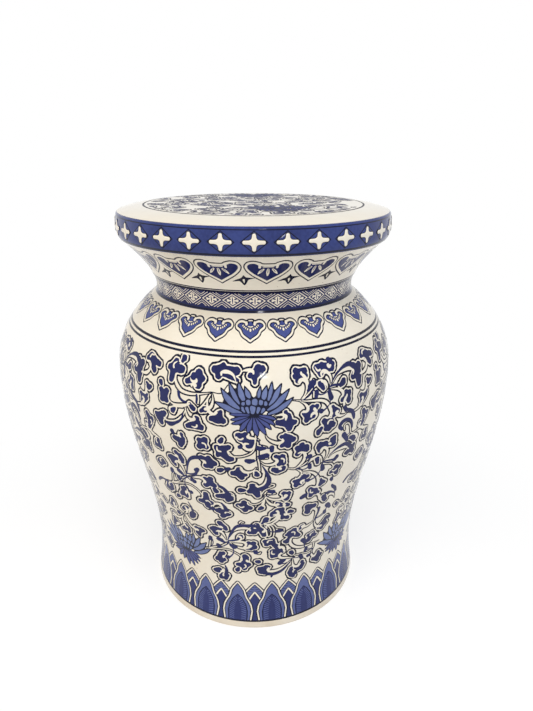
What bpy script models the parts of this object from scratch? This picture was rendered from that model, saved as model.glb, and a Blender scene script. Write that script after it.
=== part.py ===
"""Glazed ceramic garden stool, built as the thrown and moulded sections that are luted into it.

Metres, +Z up. The origin is the centre of the foot, on the ground.
From the ground up: foot ring, lower body, upper body, collar, flared neck, rim band, seat disc.
"""
import math

import bmesh
import bpy
from mathutils import Matrix, Vector

# Heights of the sections, stacked from the ground up
FOOT_RING_HEIGHT = 0.0093
LOWER_BODY_HEIGHT = 0.1757
UPPER_BODY_HEIGHT = 0.1870
COLLAR_HEIGHT = 0.0213
NECK_HEIGHT = 0.0377
RIM_HEIGHT = 0.0260

# Outer radii, and the heights at which the body is narrowest and widest
FOOT_RADIUS = 0.1290
WAIST_RADIUS = 0.1232
WAIST_HEIGHT = 0.0600
BELLY_RADIUS = 0.1542
BELLY_HEIGHT = 0.2830
SHOULDER_FULLNESS = 2.5
COLLAR_FOOT_RADIUS = 0.1088
COLLAR_WAIST_RADIUS = 0.1072
COLLAR_WAIST_RISE = 0.0080
COLLAR_TOP_RADIUS = 0.1113
COLLAR_STEP = 0.0006
NECK_START_SLOPE = 0.43

# Walls
WALL = 0.0090
FOOT_RING_WIDTH = 0.0120
FOOT_EDGE_ROUND = 0.0015
RIM_WALL = 0.0150
SLIP_GAP = 0.0003

# The seat disc, and the rim and neck that are drawn round it
SEAT_RADIUS = 0.1365
SEAT_THICKNESS = 0.0100
SEAT_CROWN = 0.0050
SEAT_CROWN_WIDTH = 0.0285
RIM_LIP_WIDTH = 0.0062
RIM_SWELL = 0.0012
RIM_OVERHANG = 0.0028
RIM_SWELL_RISE = 0.0090
RIM_EDGE_ROUND = 0.0028
RIM_TOP_RADIUS = SEAT_RADIUS + SLIP_GAP + RIM_LIP_WIDTH
RIM_RADIUS = RIM_TOP_RADIUS + RIM_SWELL
NECK_TOP_RADIUS = RIM_RADIUS - RIM_OVERHANG

# Moulded crosses round the rim
CROSS_COUNT = 32
CROSS_HALF_WIDTH = 0.0099
CROSS_HALF_HEIGHT = 0.0077
CROSS_ARM_HALF_WIDTH = 0.0019
CROSS_ARM_ROUND = 0.0013
CROSS_FILLET = 0.0034
CROSS_RISE = 0.0126
CROSS_RELIEF = 0.0009
CROSS_ROOT = 0.0020
DIAMOND_HALF_WIDTH = 0.0116
DIAMOND_HALF_HEIGHT = 0.0094
DIAMOND_SAG = 0.0008
DIAMOND_RELIEF = 0.0004

# How finely the turned shapes are cut
TURN_STEPS = 64
CROWN_CUTS = 3
WELD = 0.00001

# Seam heights that follow from the sections
FOOT_SEAM = FOOT_RING_HEIGHT
BODY_SEAM = FOOT_SEAM + LOWER_BODY_HEIGHT
COLLAR_SEAM = BODY_SEAM + UPPER_BODY_HEIGHT
NECK_SEAM = COLLAR_SEAM + COLLAR_HEIGHT
RIM_SEAM = NECK_SEAM + NECK_HEIGHT
RIM_TOP = RIM_SEAM + RIM_HEIGHT
SEAT_TOP = RIM_TOP + SEAT_CROWN


def clear_scene():
    for item in list(bpy.data.objects):
        bpy.data.objects.remove(item, do_unlink=True)


def new_collection(name):
    collection = bpy.data.collections.new(name)
    bpy.context.scene.collection.children.link(collection)
    return collection


def ceramic(name, colour, roughness):
    material = bpy.data.materials.new(name)
    material.use_nodes = True
    shader = material.node_tree.nodes["Principled BSDF"]
    shader.inputs["Base Color"].default_value = (*colour, 1.0)
    shader.inputs["Roughness"].default_value = roughness
    shader.inputs["Metallic"].default_value = 0.0
    material.diffuse_color = (*colour, 1.0)
    return material


def heights(low, high, count):
    """Evenly spaced heights from high down to low, both ends included."""
    return [high + (low - high) * i / count for i in range(count + 1)]


def body_radius(z):
    """Outer radius of the body: flared foot, narrow waist, full belly and falling shoulder."""
    if z <= WAIST_HEIGHT:
        fall = (WAIST_HEIGHT - z) / WAIST_HEIGHT
        return WAIST_RADIUS + (FOOT_RADIUS - WAIST_RADIUS) * fall ** 2
    if z <= BELLY_HEIGHT:
        rise = (z - WAIST_HEIGHT) / (BELLY_HEIGHT - WAIST_HEIGHT)
        return WAIST_RADIUS + (BELLY_RADIUS - WAIST_RADIUS) * rise * rise * (3 - 2 * rise)
    over = (z - BELLY_HEIGHT) / (COLLAR_SEAM - BELLY_HEIGHT)
    drop = BELLY_RADIUS - COLLAR_FOOT_RADIUS
    return BELLY_RADIUS - drop * over ** SHOULDER_FULLNESS


def collar_radius(z):
    """The collar is drawn in between its foot and the spring of the neck."""
    waist = COLLAR_SEAM + COLLAR_WAIST_RISE
    if z <= waist:
        fall = (waist - z) / COLLAR_WAIST_RISE
        return COLLAR_WAIST_RADIUS + (COLLAR_FOOT_RADIUS - COLLAR_WAIST_RADIUS) * fall ** 2
    rise = (z - waist) / (NECK_SEAM - waist)
    return COLLAR_WAIST_RADIUS + (COLLAR_TOP_RADIUS - COLLAR_WAIST_RADIUS) * rise ** 2


def neck_radius(z):
    """The neck flares out in a curve that steepens towards the rim."""
    rise = z - NECK_SEAM
    straight = NECK_START_SLOPE * NECK_HEIGHT
    spread = NECK_TOP_RADIUS - COLLAR_TOP_RADIUS
    return COLLAR_TOP_RADIUS + NECK_START_SLOPE * rise + (spread - straight) * (rise / NECK_HEIGHT) ** 2


def rim_radius(z):
    """The rim band turns out from the neck to its swell, then leans in to the seat's edge."""
    swell = RIM_SEAM + RIM_SWELL_RISE
    if z <= swell:
        turn = (swell - z) / RIM_SWELL_RISE
        return RIM_RADIUS - (RIM_RADIUS - NECK_TOP_RADIUS) * turn ** 2.5
    lean = (z - swell) / (RIM_TOP - swell)
    return RIM_RADIUS - (RIM_RADIUS - RIM_TOP_RADIUS) * lean ** 2


def inner_radius(outer, z):
    """Radius of a wall's inner face: the wall's thickness is measured square to its slope."""
    step = 0.0005
    slope = (outer(z + step) - outer(z - step)) / (2 * step)
    return outer(z) - WALL * math.hypot(1.0, slope)


def shell_profile(outer, low, high, outer_cuts, inner_cuts):
    """Closed outline of a hollow section: down its outer face and up its inner face."""
    top = high - SLIP_GAP
    profile = [(outer(z), z) for z in heights(low, top, outer_cuts)]
    profile += [(inner_radius(outer, z), z) for z in reversed(heights(low, top, inner_cuts))]
    return profile


def quarter_round(centre_x, centre_z, radius, start, cuts):
    """Points of a quarter circle, turning clockwise from the start angle in degrees."""
    points = []
    for i in range(cuts + 1):
        angle = math.radians(start - 90.0 * i / cuts)
        points.append((centre_x + radius * math.cos(angle), centre_z + radius * math.sin(angle)))
    return points


def turned(name, profile, material, collection, closed=True):
    """A solid of revolution about Z from an outline in the XZ plane."""
    mesh = bpy.data.meshes.new(name)
    verts = [(x, 0.0, z) for x, z in profile]
    edges = [(i, i + 1) for i in range(len(verts) - 1)]
    if closed:
        edges.append((len(verts) - 1, 0))
    mesh.from_pydata(verts, edges, [])
    item = bpy.data.objects.new(name, mesh)
    collection.objects.link(item)
    mesh.materials.append(material)
    screw = item.modifiers.new("Turn", "SCREW")
    screw.axis = "Z"
    screw.angle = math.tau
    screw.steps = TURN_STEPS
    screw.render_steps = TURN_STEPS
    screw.use_merge_vertices = True
    screw.merge_threshold = WELD
    screw.use_smooth_shade = True
    return item


def foot_ring(material, collection):
    """The ring the stool stands on, with a flat underside and a softened outer edge."""
    top = FOOT_SEAM - SLIP_GAP
    outside = body_radius(FOOT_EDGE_ROUND)
    profile = [(body_radius(z), z) for z in heights(FOOT_EDGE_ROUND, top, 2)]
    profile += quarter_round(outside - FOOT_EDGE_ROUND, FOOT_EDGE_ROUND, FOOT_EDGE_ROUND, 0.0, 2)[1:]
    profile += [(FOOT_RADIUS - FOOT_RING_WIDTH, 0.0), (FOOT_RADIUS - FOOT_RING_WIDTH, top)]
    return turned("foot_ring", profile, material, collection)


def lower_body(material, collection):
    profile = shell_profile(body_radius, FOOT_SEAM, BODY_SEAM, 9, 4)
    return turned("lower_body", profile, material, collection)


def upper_body(material, collection):
    """Belly and shoulder, cut finer where the shoulder turns over."""
    top = COLLAR_SEAM - SLIP_GAP
    profile = [(body_radius(z), z) for z in heights(BELLY_HEIGHT, top, 9)]
    profile += [(body_radius(z), z) for z in heights(BODY_SEAM, BELLY_HEIGHT, 5)[1:]]
    profile += [(inner_radius(body_radius, z), z) for z in reversed(heights(BODY_SEAM, BELLY_HEIGHT, 2))]
    profile += [(inner_radius(body_radius, z), z) for z in reversed(heights(BELLY_HEIGHT, top, 4)[:-1])]
    return turned("upper_body", profile, material, collection)


def collar(material, collection):
    """The drawn-in band between shoulder and neck, standing a hair proud of the shoulder."""
    profile = shell_profile(collar_radius, COLLAR_SEAM, NECK_SEAM, 5, 1)
    foot = profile.index((collar_radius(COLLAR_SEAM), COLLAR_SEAM))
    profile[foot:foot + 1] = [
        (collar_radius(COLLAR_SEAM) + COLLAR_STEP, COLLAR_SEAM + COLLAR_STEP),
        (collar_radius(COLLAR_SEAM) + COLLAR_STEP, COLLAR_SEAM),
    ]
    return turned("collar", profile, material, collection)


def flared_neck(material, collection):
    profile = shell_profile(neck_radius, NECK_SEAM, RIM_SEAM, 5, 2)
    return turned("flared_neck", profile, material, collection)


def rim_profile():
    """Outline of the rim band, with the ledge that the seat disc beds on."""
    bore = RIM_RADIUS - RIM_WALL
    ledge = RIM_TOP - SEAT_THICKNESS - SLIP_GAP
    edge_z = RIM_TOP - RIM_EDGE_ROUND
    edge_x = rim_radius(edge_z) - RIM_EDGE_ROUND
    swell = RIM_SEAM + RIM_SWELL_RISE
    profile = [(SEAT_RADIUS + SLIP_GAP, RIM_TOP)]
    profile += quarter_round(edge_x, edge_z, RIM_EDGE_ROUND, 90.0, 3)
    profile += [(rim_radius(z), z) for z in heights(swell, edge_z, 2)[1:]]
    profile += [(rim_radius(z), z) for z in heights(RIM_SEAM, swell, 4)[1:]]
    profile += [(bore, RIM_SEAM), (bore, ledge), (SEAT_RADIUS + SLIP_GAP, ledge)]
    return profile


def cross_outline():
    """Half-width arms with rounded ends, joined by hollow fillets, anticlockwise."""
    arm = CROSS_ARM_HALF_WIDTH
    end = CROSS_ARM_ROUND
    turn = CROSS_FILLET
    quadrant = [
        (CROSS_HALF_WIDTH, arm - end),
        (CROSS_HALF_WIDTH - end, arm),
        (arm + turn, arm),
        (arm + turn * (1 - math.sin(math.pi / 4)), arm + turn * (1 - math.cos(math.pi / 4))),
        (arm, arm + turn),
        (arm, CROSS_HALF_HEIGHT - end),
        (arm - end, CROSS_HALF_HEIGHT),
    ]
    upper = quadrant + [(-x, y) for x, y in reversed(quadrant)]
    return upper + [(-x, -y) for x, y in upper]


def diamond_outline():
    """Four points with slightly hollow sides, anticlockwise."""
    wide = DIAMOND_HALF_WIDTH
    tall = DIAMOND_HALF_HEIGHT
    side = Vector((wide, tall)).normalized()
    middle = (wide / 2 - DIAMOND_SAG * side.y, tall / 2 - DIAMOND_SAG * side.x)
    upper = [(wide, 0.0), middle, (0.0, tall), (-middle[0], middle[1])]
    return upper + [(-x, -y) for x, y in upper]


def flat_plate(name, outline, collection):
    """A thin plate of the given outline, as a mesh, from a filled 2D curve."""
    curve = bpy.data.curves.new(name, "CURVE")
    curve.dimensions = "2D"
    curve.fill_mode = "BOTH"
    curve.extrude = CROSS_ROOT / 2
    spline = curve.splines.new("POLY")
    spline.points.add(len(outline) - 1)
    for point, (x, y) in zip(spline.points, outline):
        point.co = (x, y, 0.0, 1.0)
    spline.use_cyclic_u = True
    source = bpy.data.objects.new(name, curve)
    collection.objects.link(source)
    bpy.context.view_layer.update()
    evaluated = source.evaluated_get(bpy.context.evaluated_depsgraph_get())
    mesh = bpy.data.meshes.new_from_object(evaluated)
    bpy.data.objects.remove(source, do_unlink=True)
    bpy.data.curves.remove(curve)
    shape = bmesh.new()
    shape.from_mesh(mesh)
    bmesh.ops.remove_doubles(shape, verts=shape.verts, dist=WELD)
    bmesh.ops.recalc_face_normals(shape, faces=shape.faces)
    shape.to_mesh(mesh)
    shape.free()
    return mesh


def wrap_on_rim(mesh, relief):
    """Bend a plate round the rim at +X: its front stands proud by the relief, its back is buried."""
    centre = RIM_SEAM + CROSS_RISE
    for vert in mesh.vertices:
        angle = vert.co.x / RIM_RADIUS
        z = centre + vert.co.y
        surface = rim_radius(z)
        radius = surface + relief if vert.co.z > 0 else surface - CROSS_ROOT
        vert.co = (radius * math.cos(angle), radius * math.sin(angle), z)


def ring_of(name, plate, collection):
    """One cutter that holds the plate repeated once for every cross round the rim."""
    shape = bmesh.new()
    for i in range(CROSS_COUNT):
        turn = Matrix.Rotation(math.tau * i / CROSS_COUNT, 4, "Z")
        copy = plate.copy()
        copy.transform(turn)
        shape.from_mesh(copy)
        bpy.data.meshes.remove(copy)
    mesh = bpy.data.meshes.new(name)
    shape.to_mesh(mesh)
    shape.free()
    item = bpy.data.objects.new(name, mesh)
    collection.objects.link(item)
    item.hide_render = True
    item.display_type = "WIRE"
    return item


def rim_band(material, collection, cutters):
    """The band under the seat, with a raised cross on a raised diamond repeated all round."""
    band = turned("rim_band", rim_profile(), material, collection)
    for label, outline, relief in (
        ("diamonds", diamond_outline(), DIAMOND_RELIEF),
        ("crosses", cross_outline(), CROSS_RELIEF),
    ):
        plate = flat_plate(label, outline, cutters)
        wrap_on_rim(plate, relief)
        union = band.modifiers.new(label, "BOOLEAN")
        union.operation = "UNION"
        union.solver = "EXACT"
        union.object = ring_of("rim_" + label, plate, cutters)
    return band


def seat_disc(material, collection):
    """The crowned top: flat in the middle, falling in a curve to the rim's edge, and bedded on its ledge."""
    under = RIM_TOP - SEAT_THICKNESS
    flat = SEAT_RADIUS - SEAT_CROWN_WIDTH
    profile = [(0.0, SEAT_TOP), (flat / 2, SEAT_TOP), (flat, SEAT_TOP)]
    for i in range(1, CROWN_CUTS + 1):
        out = i / CROWN_CUTS
        profile.append((flat + SEAT_CROWN_WIDTH * out, SEAT_TOP - SEAT_CROWN * out ** 2))
    profile += [(SEAT_RADIUS, under), (SEAT_RADIUS / 2, under), (0.0, under)]
    return turned("seat_disc", profile, material, collection, closed=False)


def shade(item, angle):
    """Smooth shading, with the corners between flat faces and walls kept crisp."""
    item.data.shade_smooth()
    item.data.set_sharp_from_angle(angle=math.radians(angle))


def build():
    clear_scene()
    stool = new_collection("garden_stool")
    cutters = new_collection("cutters")
    ivory = ceramic("ivory_glaze", (0.80, 0.75, 0.66), 0.12)
    cobalt = ceramic("cobalt_glaze", (0.045, 0.065, 0.26), 0.12)
    clay = ceramic("foot_clay", (0.74, 0.66, 0.55), 0.55)
    pieces = [
        foot_ring(clay, stool),
        lower_body(ivory, stool),
        upper_body(ivory, stool),
        collar(cobalt, stool),
        flared_neck(ivory, stool),
        rim_band(cobalt, stool, cutters),
        seat_disc(ivory, stool),
    ]
    for piece in pieces:
        shade(piece, 35.0)


build()
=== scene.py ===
"""Dresses the glazed ceramic garden stool: turned skins, moulded rim and hand-painted cobalt."""
import math

import bpy
import numpy as np
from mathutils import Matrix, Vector
from mathutils.geometry import delaunay_2d_cdt


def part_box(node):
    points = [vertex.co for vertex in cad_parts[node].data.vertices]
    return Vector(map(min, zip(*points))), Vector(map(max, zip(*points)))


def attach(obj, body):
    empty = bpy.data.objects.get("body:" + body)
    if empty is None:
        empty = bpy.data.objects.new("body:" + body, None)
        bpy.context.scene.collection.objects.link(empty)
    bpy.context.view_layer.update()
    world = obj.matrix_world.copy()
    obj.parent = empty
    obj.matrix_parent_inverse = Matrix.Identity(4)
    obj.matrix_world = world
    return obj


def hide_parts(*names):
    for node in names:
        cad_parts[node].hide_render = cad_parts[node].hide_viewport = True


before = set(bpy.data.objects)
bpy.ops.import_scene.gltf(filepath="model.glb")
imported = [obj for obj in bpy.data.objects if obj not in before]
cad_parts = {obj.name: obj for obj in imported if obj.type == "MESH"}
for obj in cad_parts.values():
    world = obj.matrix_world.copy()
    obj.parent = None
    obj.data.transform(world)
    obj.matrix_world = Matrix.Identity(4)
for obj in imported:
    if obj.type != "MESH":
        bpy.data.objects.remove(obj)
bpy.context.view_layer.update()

# Body of the stool, from the foot line to the collar.
# Stoneware thrown in two sections and luted at the middle, hollow, with a 9 mm wall. Outside it has
# a clear glossy glaze over ivory slip; inside the glaze is thin.
MM = 0.001
FOOT_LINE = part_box("lower_body")[0][2]
COLLAR_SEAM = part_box("collar")[0][2]
NECK_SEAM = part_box("flared_neck")[0][2]
RIM_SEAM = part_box("rim_band")[0][2]
RIM_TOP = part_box("rim_band")[1][2]
SEAT_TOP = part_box("seat_disc")[1][2]
FOOT_RADIUS = 0.1290
WAIST_RADIUS, WAIST_HEIGHT = 0.1232, 0.0600
BELLY_RADIUS, BELLY_HEIGHT = 0.1542, 0.2830
COLLAR_FOOT_RADIUS, SHOULDER_FULLNESS = 0.1088, 2.5
WALL = 0.0090
SKIN_DEPTH = 0.25 * MM
SLOPE_STEP = 0.5 * MM
SPIN_STEPS = 256


def body_radius(z):
    """The body's profile: flared foot, narrow waist, full belly and falling shoulder."""
    fall = np.clip(WAIST_HEIGHT - z, 0, None) / WAIST_HEIGHT
    rise = np.clip((z - WAIST_HEIGHT) / (BELLY_HEIGHT - WAIST_HEIGHT), 0, 1)
    over = np.clip((z - BELLY_HEIGHT) / (COLLAR_SEAM - BELLY_HEIGHT), 0, None)
    foot = (FOOT_RADIUS - WAIST_RADIUS) * fall ** 2
    belly = (BELLY_RADIUS - WAIST_RADIUS) * rise * rise * (3 - 2 * rise)
    shoulder = (BELLY_RADIUS - COLLAR_FOOT_RADIUS) * over ** SHOULDER_FULLNESS
    return WAIST_RADIUS + foot + belly - shoulder


def slope(radius, z):
    return (radius(z + SLOPE_STEP) - radius(z - SLOPE_STEP)) / (2 * SLOPE_STEP)


def sunk(radius, z, depth):
    """A point of a profile moved in square to the surface."""
    lean = slope(radius, z)
    length = math.hypot(1.0, lean)
    return radius(z) - depth / length, z + depth * lean / length


def heights(low, high, spacing):
    return np.linspace(low, high, max(2, round((high - low) / spacing) + 1))


def shell_outline(radius, low, high, spacing=3 * MM):
    """Closed outline of a hollow wall, down its outside and up its inside."""
    outside = [sunk(radius, z, SKIN_DEPTH) for z in heights(low, high, spacing)[::-1]]
    outside[0] = (outside[0][0], high)
    outside[-1] = (outside[-1][0], low)
    inside = [(radius(z) - WALL * math.hypot(1.0, slope(radius, z)), z)
              for z in heights(low, high, 3 * spacing)]
    return outside + inside


def select_nothing():
    if bpy.context.object and bpy.context.object.mode == "EDIT":
        bpy.ops.object.mode_set(mode="OBJECT")
    bpy.ops.object.select_all(action="DESELECT")


def spun(name, outline, closed=True):
    """Turns an outline of (radius, height) about the stool's axis, as on the wheel."""
    select_nothing()
    bpy.ops.mesh.primitive_plane_add(size=1.0, location=(0, 0, 0))
    piece = bpy.context.object
    piece.name = piece.data.name = name
    bpy.ops.object.mode_set(mode="EDIT")
    bpy.ops.mesh.merge(type="CENTER")
    x, z = outline[0]
    bpy.ops.transform.translate(value=(x, 0, z))
    for (x0, z0), (x1, z1) in zip(outline, outline[1:] + outline[:1] if closed else outline[1:]):
        bpy.ops.mesh.extrude_vertices_move(TRANSFORM_OT_translate={"value": (x1 - x0, 0, z1 - z0)})
    bpy.ops.mesh.select_all(action="SELECT")
    bpy.ops.mesh.spin(steps=SPIN_STEPS, angle=math.tau, center=(0, 0, 0), axis=(0, 0, 1))
    bpy.ops.mesh.select_all(action="SELECT")
    bpy.ops.mesh.remove_doubles(threshold=0.01 * MM)
    bpy.ops.mesh.normals_make_consistent(inside=False)
    bpy.ops.object.mode_set(mode="OBJECT")
    bpy.ops.object.shade_smooth_by_angle(angle=math.radians(30))
    return piece


class Shade:
    """A shader socket that Python's operators work on."""

    def __init__(self, tree, socket):
        self.tree, self.socket = tree, socket

    def node(self, kind, settings=None, **inputs):
        """Adds a node, sets it up and links or sets its sockets, given by name or by _ and number."""
        made = self.tree.nodes.new(kind)
        for key, value in (settings or {}).items():
            setattr(made, key, value)
        for key, value in inputs.items():
            socket = made.inputs[int(key[1:]) if key[1:].isdigit() else key.replace("_", " ")]
            if isinstance(value, Shade):
                self.tree.links.new(value.socket, socket)
            else:
                socket.default_value = value
        return made

    def out(self, kind, settings=None, output=0, **inputs):
        return Shade(self.tree, self.node(kind, settings, **inputs).outputs[output])

    def maths(self, operation, *values):
        numbered = {f"_{i}": value for i, value in enumerate(values)}
        return self.out("ShaderNodeMath", {"operation": operation}, **numbered)

    def __add__(self, other):
        return self.maths("ADD", self, other)

    def __radd__(self, other):
        return self.maths("ADD", other, self)

    def __sub__(self, other):
        return self.maths("SUBTRACT", self, other)

    def __rsub__(self, other):
        return self.maths("SUBTRACT", other, self)

    def __mul__(self, other):
        return self.maths("MULTIPLY", self, other)

    def __rmul__(self, other):
        return self.maths("MULTIPLY", other, self)

    def mixed(self, low, high):
        """A colour between two others, by this factor."""
        return self.out("ShaderNodeMix", {"data_type": "RGBA"}, 2, _0=self, _6=low, _7=high)

    def between(self, low, high):
        """0 below the low value, 1 above the high one, and smooth from one to the other."""
        settings = {"interpolation_type": "SMOOTHSTEP"}
        return self.out("ShaderNodeMapRange", settings, Value=self, From_Min=low, From_Max=high)


def noise(place, size, detail=2.0, roughness=0.5):
    """Soft noise whose features are about this many metres across."""
    settings = {"Scale": 1.0 / size, "Detail": detail, "Roughness": roughness}
    return place.out("ShaderNodeTexNoise", None, 0, Vector=place, **settings)


def srgb(red, green, blue):
    """A linear colour, with alpha, from the 0 to 255 numbers of a paint chart."""
    parts = (c / 255 for c in (red, green, blue))
    return tuple((c / 12.92 if c <= 0.04 else ((c + 0.055) / 1.055) ** 2.4) for c in parts) + (1.0,)


def new_material(name):
    material = bpy.data.materials.new(name)
    material.use_nodes = True
    tree = material.node_tree
    shader = tree.nodes["Principled BSDF"]
    place = Shade(tree, tree.nodes.new("ShaderNodeTexCoord").outputs["Object"])
    return material, shader, place


GLAZE_WAVE, GLAZE_WAVE_HEIGHT = 0.030, 0.10 * MM
GLAZE_PEEL, GLAZE_PEEL_HEIGHT = 0.004, 0.004 * MM


def glaze_surface(shader, place, roughness, bending=1.30):
    """The fired glaze: glossy, a little wavy, with a faint orange peel."""
    wave = noise(place, GLAZE_WAVE, 1.0) * GLAZE_WAVE_HEIGHT
    peel = noise(place, GLAZE_PEEL, 1.0) * GLAZE_PEEL_HEIGHT
    bump = place.node("ShaderNodeBump", None, Strength=1.0, Distance=1.0, Height=wave + peel)
    place.tree.links.new(bump.outputs["Normal"], shader.inputs["Normal"])
    matt = noise(place, 0.05, 2.0).between(0.45, 0.75) * 0.05 + roughness
    place.tree.links.new(matt.socket, shader.inputs["Roughness"])
    shader.inputs["IOR"].default_value = bending


def ivory_glaze(name, light, dark, roughness=0.07):
    """Clear glaze over ivory slip: mottled, warmer where it is thick, with a few iron specks."""
    material, shader, place = new_material(name)
    cloudy, fine = noise(place, 0.060, 2.0, 0.5), noise(place, 0.0035, 2.0)
    mottle = cloudy.between(0.30, 0.75) * 0.7 + fine.between(0.3, 0.8) * 0.3
    colour = mottle.mixed(light, dark)
    speck = noise(place, 0.0022, 0.0).between(0.80, 0.86) * noise(place, 0.03, 0.0).between(0.5, 0.6)
    colour = (speck * 0.45).mixed(colour, srgb(150, 118, 84))
    place.tree.links.new(colour.socket, shader.inputs["Base Color"])
    glaze_surface(shader, place, roughness)
    return material


IVORY = ivory_glaze("ivory_glaze", srgb(243, 236, 221), srgb(238, 229, 211))
body = spun("glazed_body", shell_outline(body_radius, FOOT_LINE, COLLAR_SEAM))
body.data.materials.append(IVORY)
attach(body, "root")
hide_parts("lower_body", "upper_body")

# Foot ring, the ring that the stool stands on.
# The same stoneware; its side is dipped in the clear glaze and its flat underside is wiped bare
# before firing.
FOOT_RING_WIDTH = 0.0120
FOOT_EDGE_ROUND = 1.5 * MM
GRIT_HEIGHT = 0.08 * MM


def foot_outline():
    """Outline of the ring, with a softened outer edge."""
    outside = [sunk(body_radius, z, SKIN_DEPTH) for z in heights(FOOT_EDGE_ROUND, FOOT_LINE, 2 * MM)[::-1]]
    outside[0] = (outside[0][0], FOOT_LINE)
    centre = outside[-1][0] - FOOT_EDGE_ROUND
    turn = [math.radians(a) for a in (-22.5, -45, -67.5, -90)]
    outside += [(centre + FOOT_EDGE_ROUND * math.cos(a), FOOT_EDGE_ROUND * (1 + math.sin(a))) for a in turn]
    bore = FOOT_RADIUS - FOOT_RING_WIDTH
    return outside + [(bore + MM, 0.0), (bore, MM), (bore, FOOT_LINE)]


def bare_foot(name):
    """Glazed down the side; bare, matt and a little gritty underneath."""
    material, shader, place = new_material(name)
    height = place.out("ShaderNodeSeparateXYZ", None, 2, Vector=place)
    glazed = height.between(0.3 * MM, 1.4 * MM)
    grit = noise(place, 0.0012, 2.0)
    clay = grit.between(0.4, 0.7).mixed(srgb(214, 196, 166), srgb(186, 160, 124))
    slip = noise(place, 0.035, 4.0, 0.6).between(0.35, 0.70).mixed(srgb(233, 223, 206), srgb(222, 209, 188))
    place.tree.links.new(glazed.mixed(clay, slip).socket, shader.inputs["Base Color"])
    place.tree.links.new((0.62 - glazed * 0.53).socket, shader.inputs["Roughness"])
    rough = grit * (1 - glazed) * GRIT_HEIGHT
    bump = place.node("ShaderNodeBump", None, Strength=1.0, Distance=1.0, Height=rough)
    place.tree.links.new(bump.outputs["Normal"], shader.inputs["Normal"])
    return material


foot = spun("foot", foot_outline())
foot.data.materials.append(bare_foot("foot_clay"))
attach(foot, "root")
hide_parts("foot_ring")

# Collar, the drawn-in band between shoulder and neck.
# Turned with the neck and luted to the shoulder, where its foot stands a hair proud. It is painted
# all over with cobalt.
COLLAR_WAIST_RADIUS, COLLAR_WAIST_RISE = 0.1072, 0.0080
COLLAR_TOP_RADIUS = 0.1113


def collar_radius(z):
    waist = COLLAR_SEAM + COLLAR_WAIST_RISE
    fall = np.clip(waist - z, 0, None) / COLLAR_WAIST_RISE
    rise = np.clip(z - waist, 0, None) / (NECK_SEAM - waist)
    return (COLLAR_WAIST_RADIUS + (COLLAR_FOOT_RADIUS - COLLAR_WAIST_RADIUS) * fall ** 2
            + (COLLAR_TOP_RADIUS - COLLAR_WAIST_RADIUS) * rise ** 2)


def cobalt_glaze(name, light, dark, roughness=0.07, bending=1.30):
    """Cobalt brushed under the clear glaze: darker where it pooled, lighter where the brush ran dry."""
    material, shader, place = new_material(name)
    pooled = noise(place, 0.003, 3.0, 0.6).between(0.30, 0.75)
    wash = noise(place, 0.045, 1.0).between(0.25, 0.75)
    tone = pooled * 0.45 + wash * 0.55
    place.tree.links.new(tone.mixed(light, dark).socket, shader.inputs["Base Color"])
    glaze_surface(shader, place, roughness, bending)
    return material


COBALT = cobalt_glaze("cobalt_glaze", srgb(56, 70, 132), srgb(40, 50, 104))
DEEP_COBALT = cobalt_glaze("deep_cobalt_glaze", srgb(32, 41, 96), srgb(22, 28, 72))
collar = spun("collar_band", shell_outline(collar_radius, COLLAR_SEAM, NECK_SEAM, 1.5 * MM))
collar.data.materials.append(DEEP_COBALT)
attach(collar, "root")
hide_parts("collar")

# Flared neck, which carries the rim.
# Turned stoneware with the ivory slip and clear glaze of the body, opening out in one curve.
NECK_TOP_RADIUS, NECK_START_SLOPE = 0.1414, 0.43


def neck_radius(z):
    rise = z - NECK_SEAM
    height = RIM_SEAM - NECK_SEAM
    spread = NECK_TOP_RADIUS - COLLAR_TOP_RADIUS
    start = NECK_START_SLOPE
    return COLLAR_TOP_RADIUS + start * rise + (spread - start * height) * (rise / height) ** 2


neck = spun("neck", shell_outline(neck_radius, NECK_SEAM, RIM_SEAM, 2 * MM))
neck.data.materials.append(IVORY)
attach(neck, "root")
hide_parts("flared_neck")

# Rim band round the seat.
# A turned band luted to the neck, with a ledge inside that the seat beds on, washed all over with
# cobalt.
RIM_RADIUS, RIM_SWELL_RISE = 0.1442, 0.0090
RIM_TOP_RADIUS, RIM_EDGE_ROUND = 0.1430, 2.8 * MM
RIM_WALL = 0.0150
SEAT_RADIUS, SEAT_THICKNESS = 0.1365, 0.0100


def rim_radius(z):
    swell = RIM_SEAM + RIM_SWELL_RISE
    turn = np.clip(swell - z, 0, None) / RIM_SWELL_RISE
    lean = np.clip(z - swell, 0, None) / (RIM_TOP - swell)
    return (RIM_RADIUS - (RIM_RADIUS - NECK_TOP_RADIUS) * turn ** 2.5
            - (RIM_RADIUS - RIM_TOP_RADIUS) * lean ** 2)


def rim_outline():
    edge = RIM_TOP - RIM_EDGE_ROUND
    outside = [sunk(rim_radius, z, SKIN_DEPTH) for z in heights(RIM_SEAM, edge, 1.5 * MM)[::-1]]
    outside[-1] = (outside[-1][0], RIM_SEAM)
    centre = outside[0][0] - RIM_EDGE_ROUND
    turn = [math.radians(a) for a in range(90, 0, -10)]
    rounded = [(centre + RIM_EDGE_ROUND * math.cos(a), edge - SKIN_DEPTH + RIM_EDGE_ROUND * math.sin(a))
               for a in turn]
    bore = RIM_RADIUS - RIM_WALL
    ledge = RIM_TOP - SEAT_THICKNESS
    inside = [(bore, RIM_SEAM), (bore, ledge), (SEAT_RADIUS, ledge), (SEAT_RADIUS, RIM_TOP - SKIN_DEPTH)]
    return rounded + outside + inside


rim = spun("rim", rim_outline())
rim.data.materials.append(COBALT)
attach(rim, "root")
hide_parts("rim_band")

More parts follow.
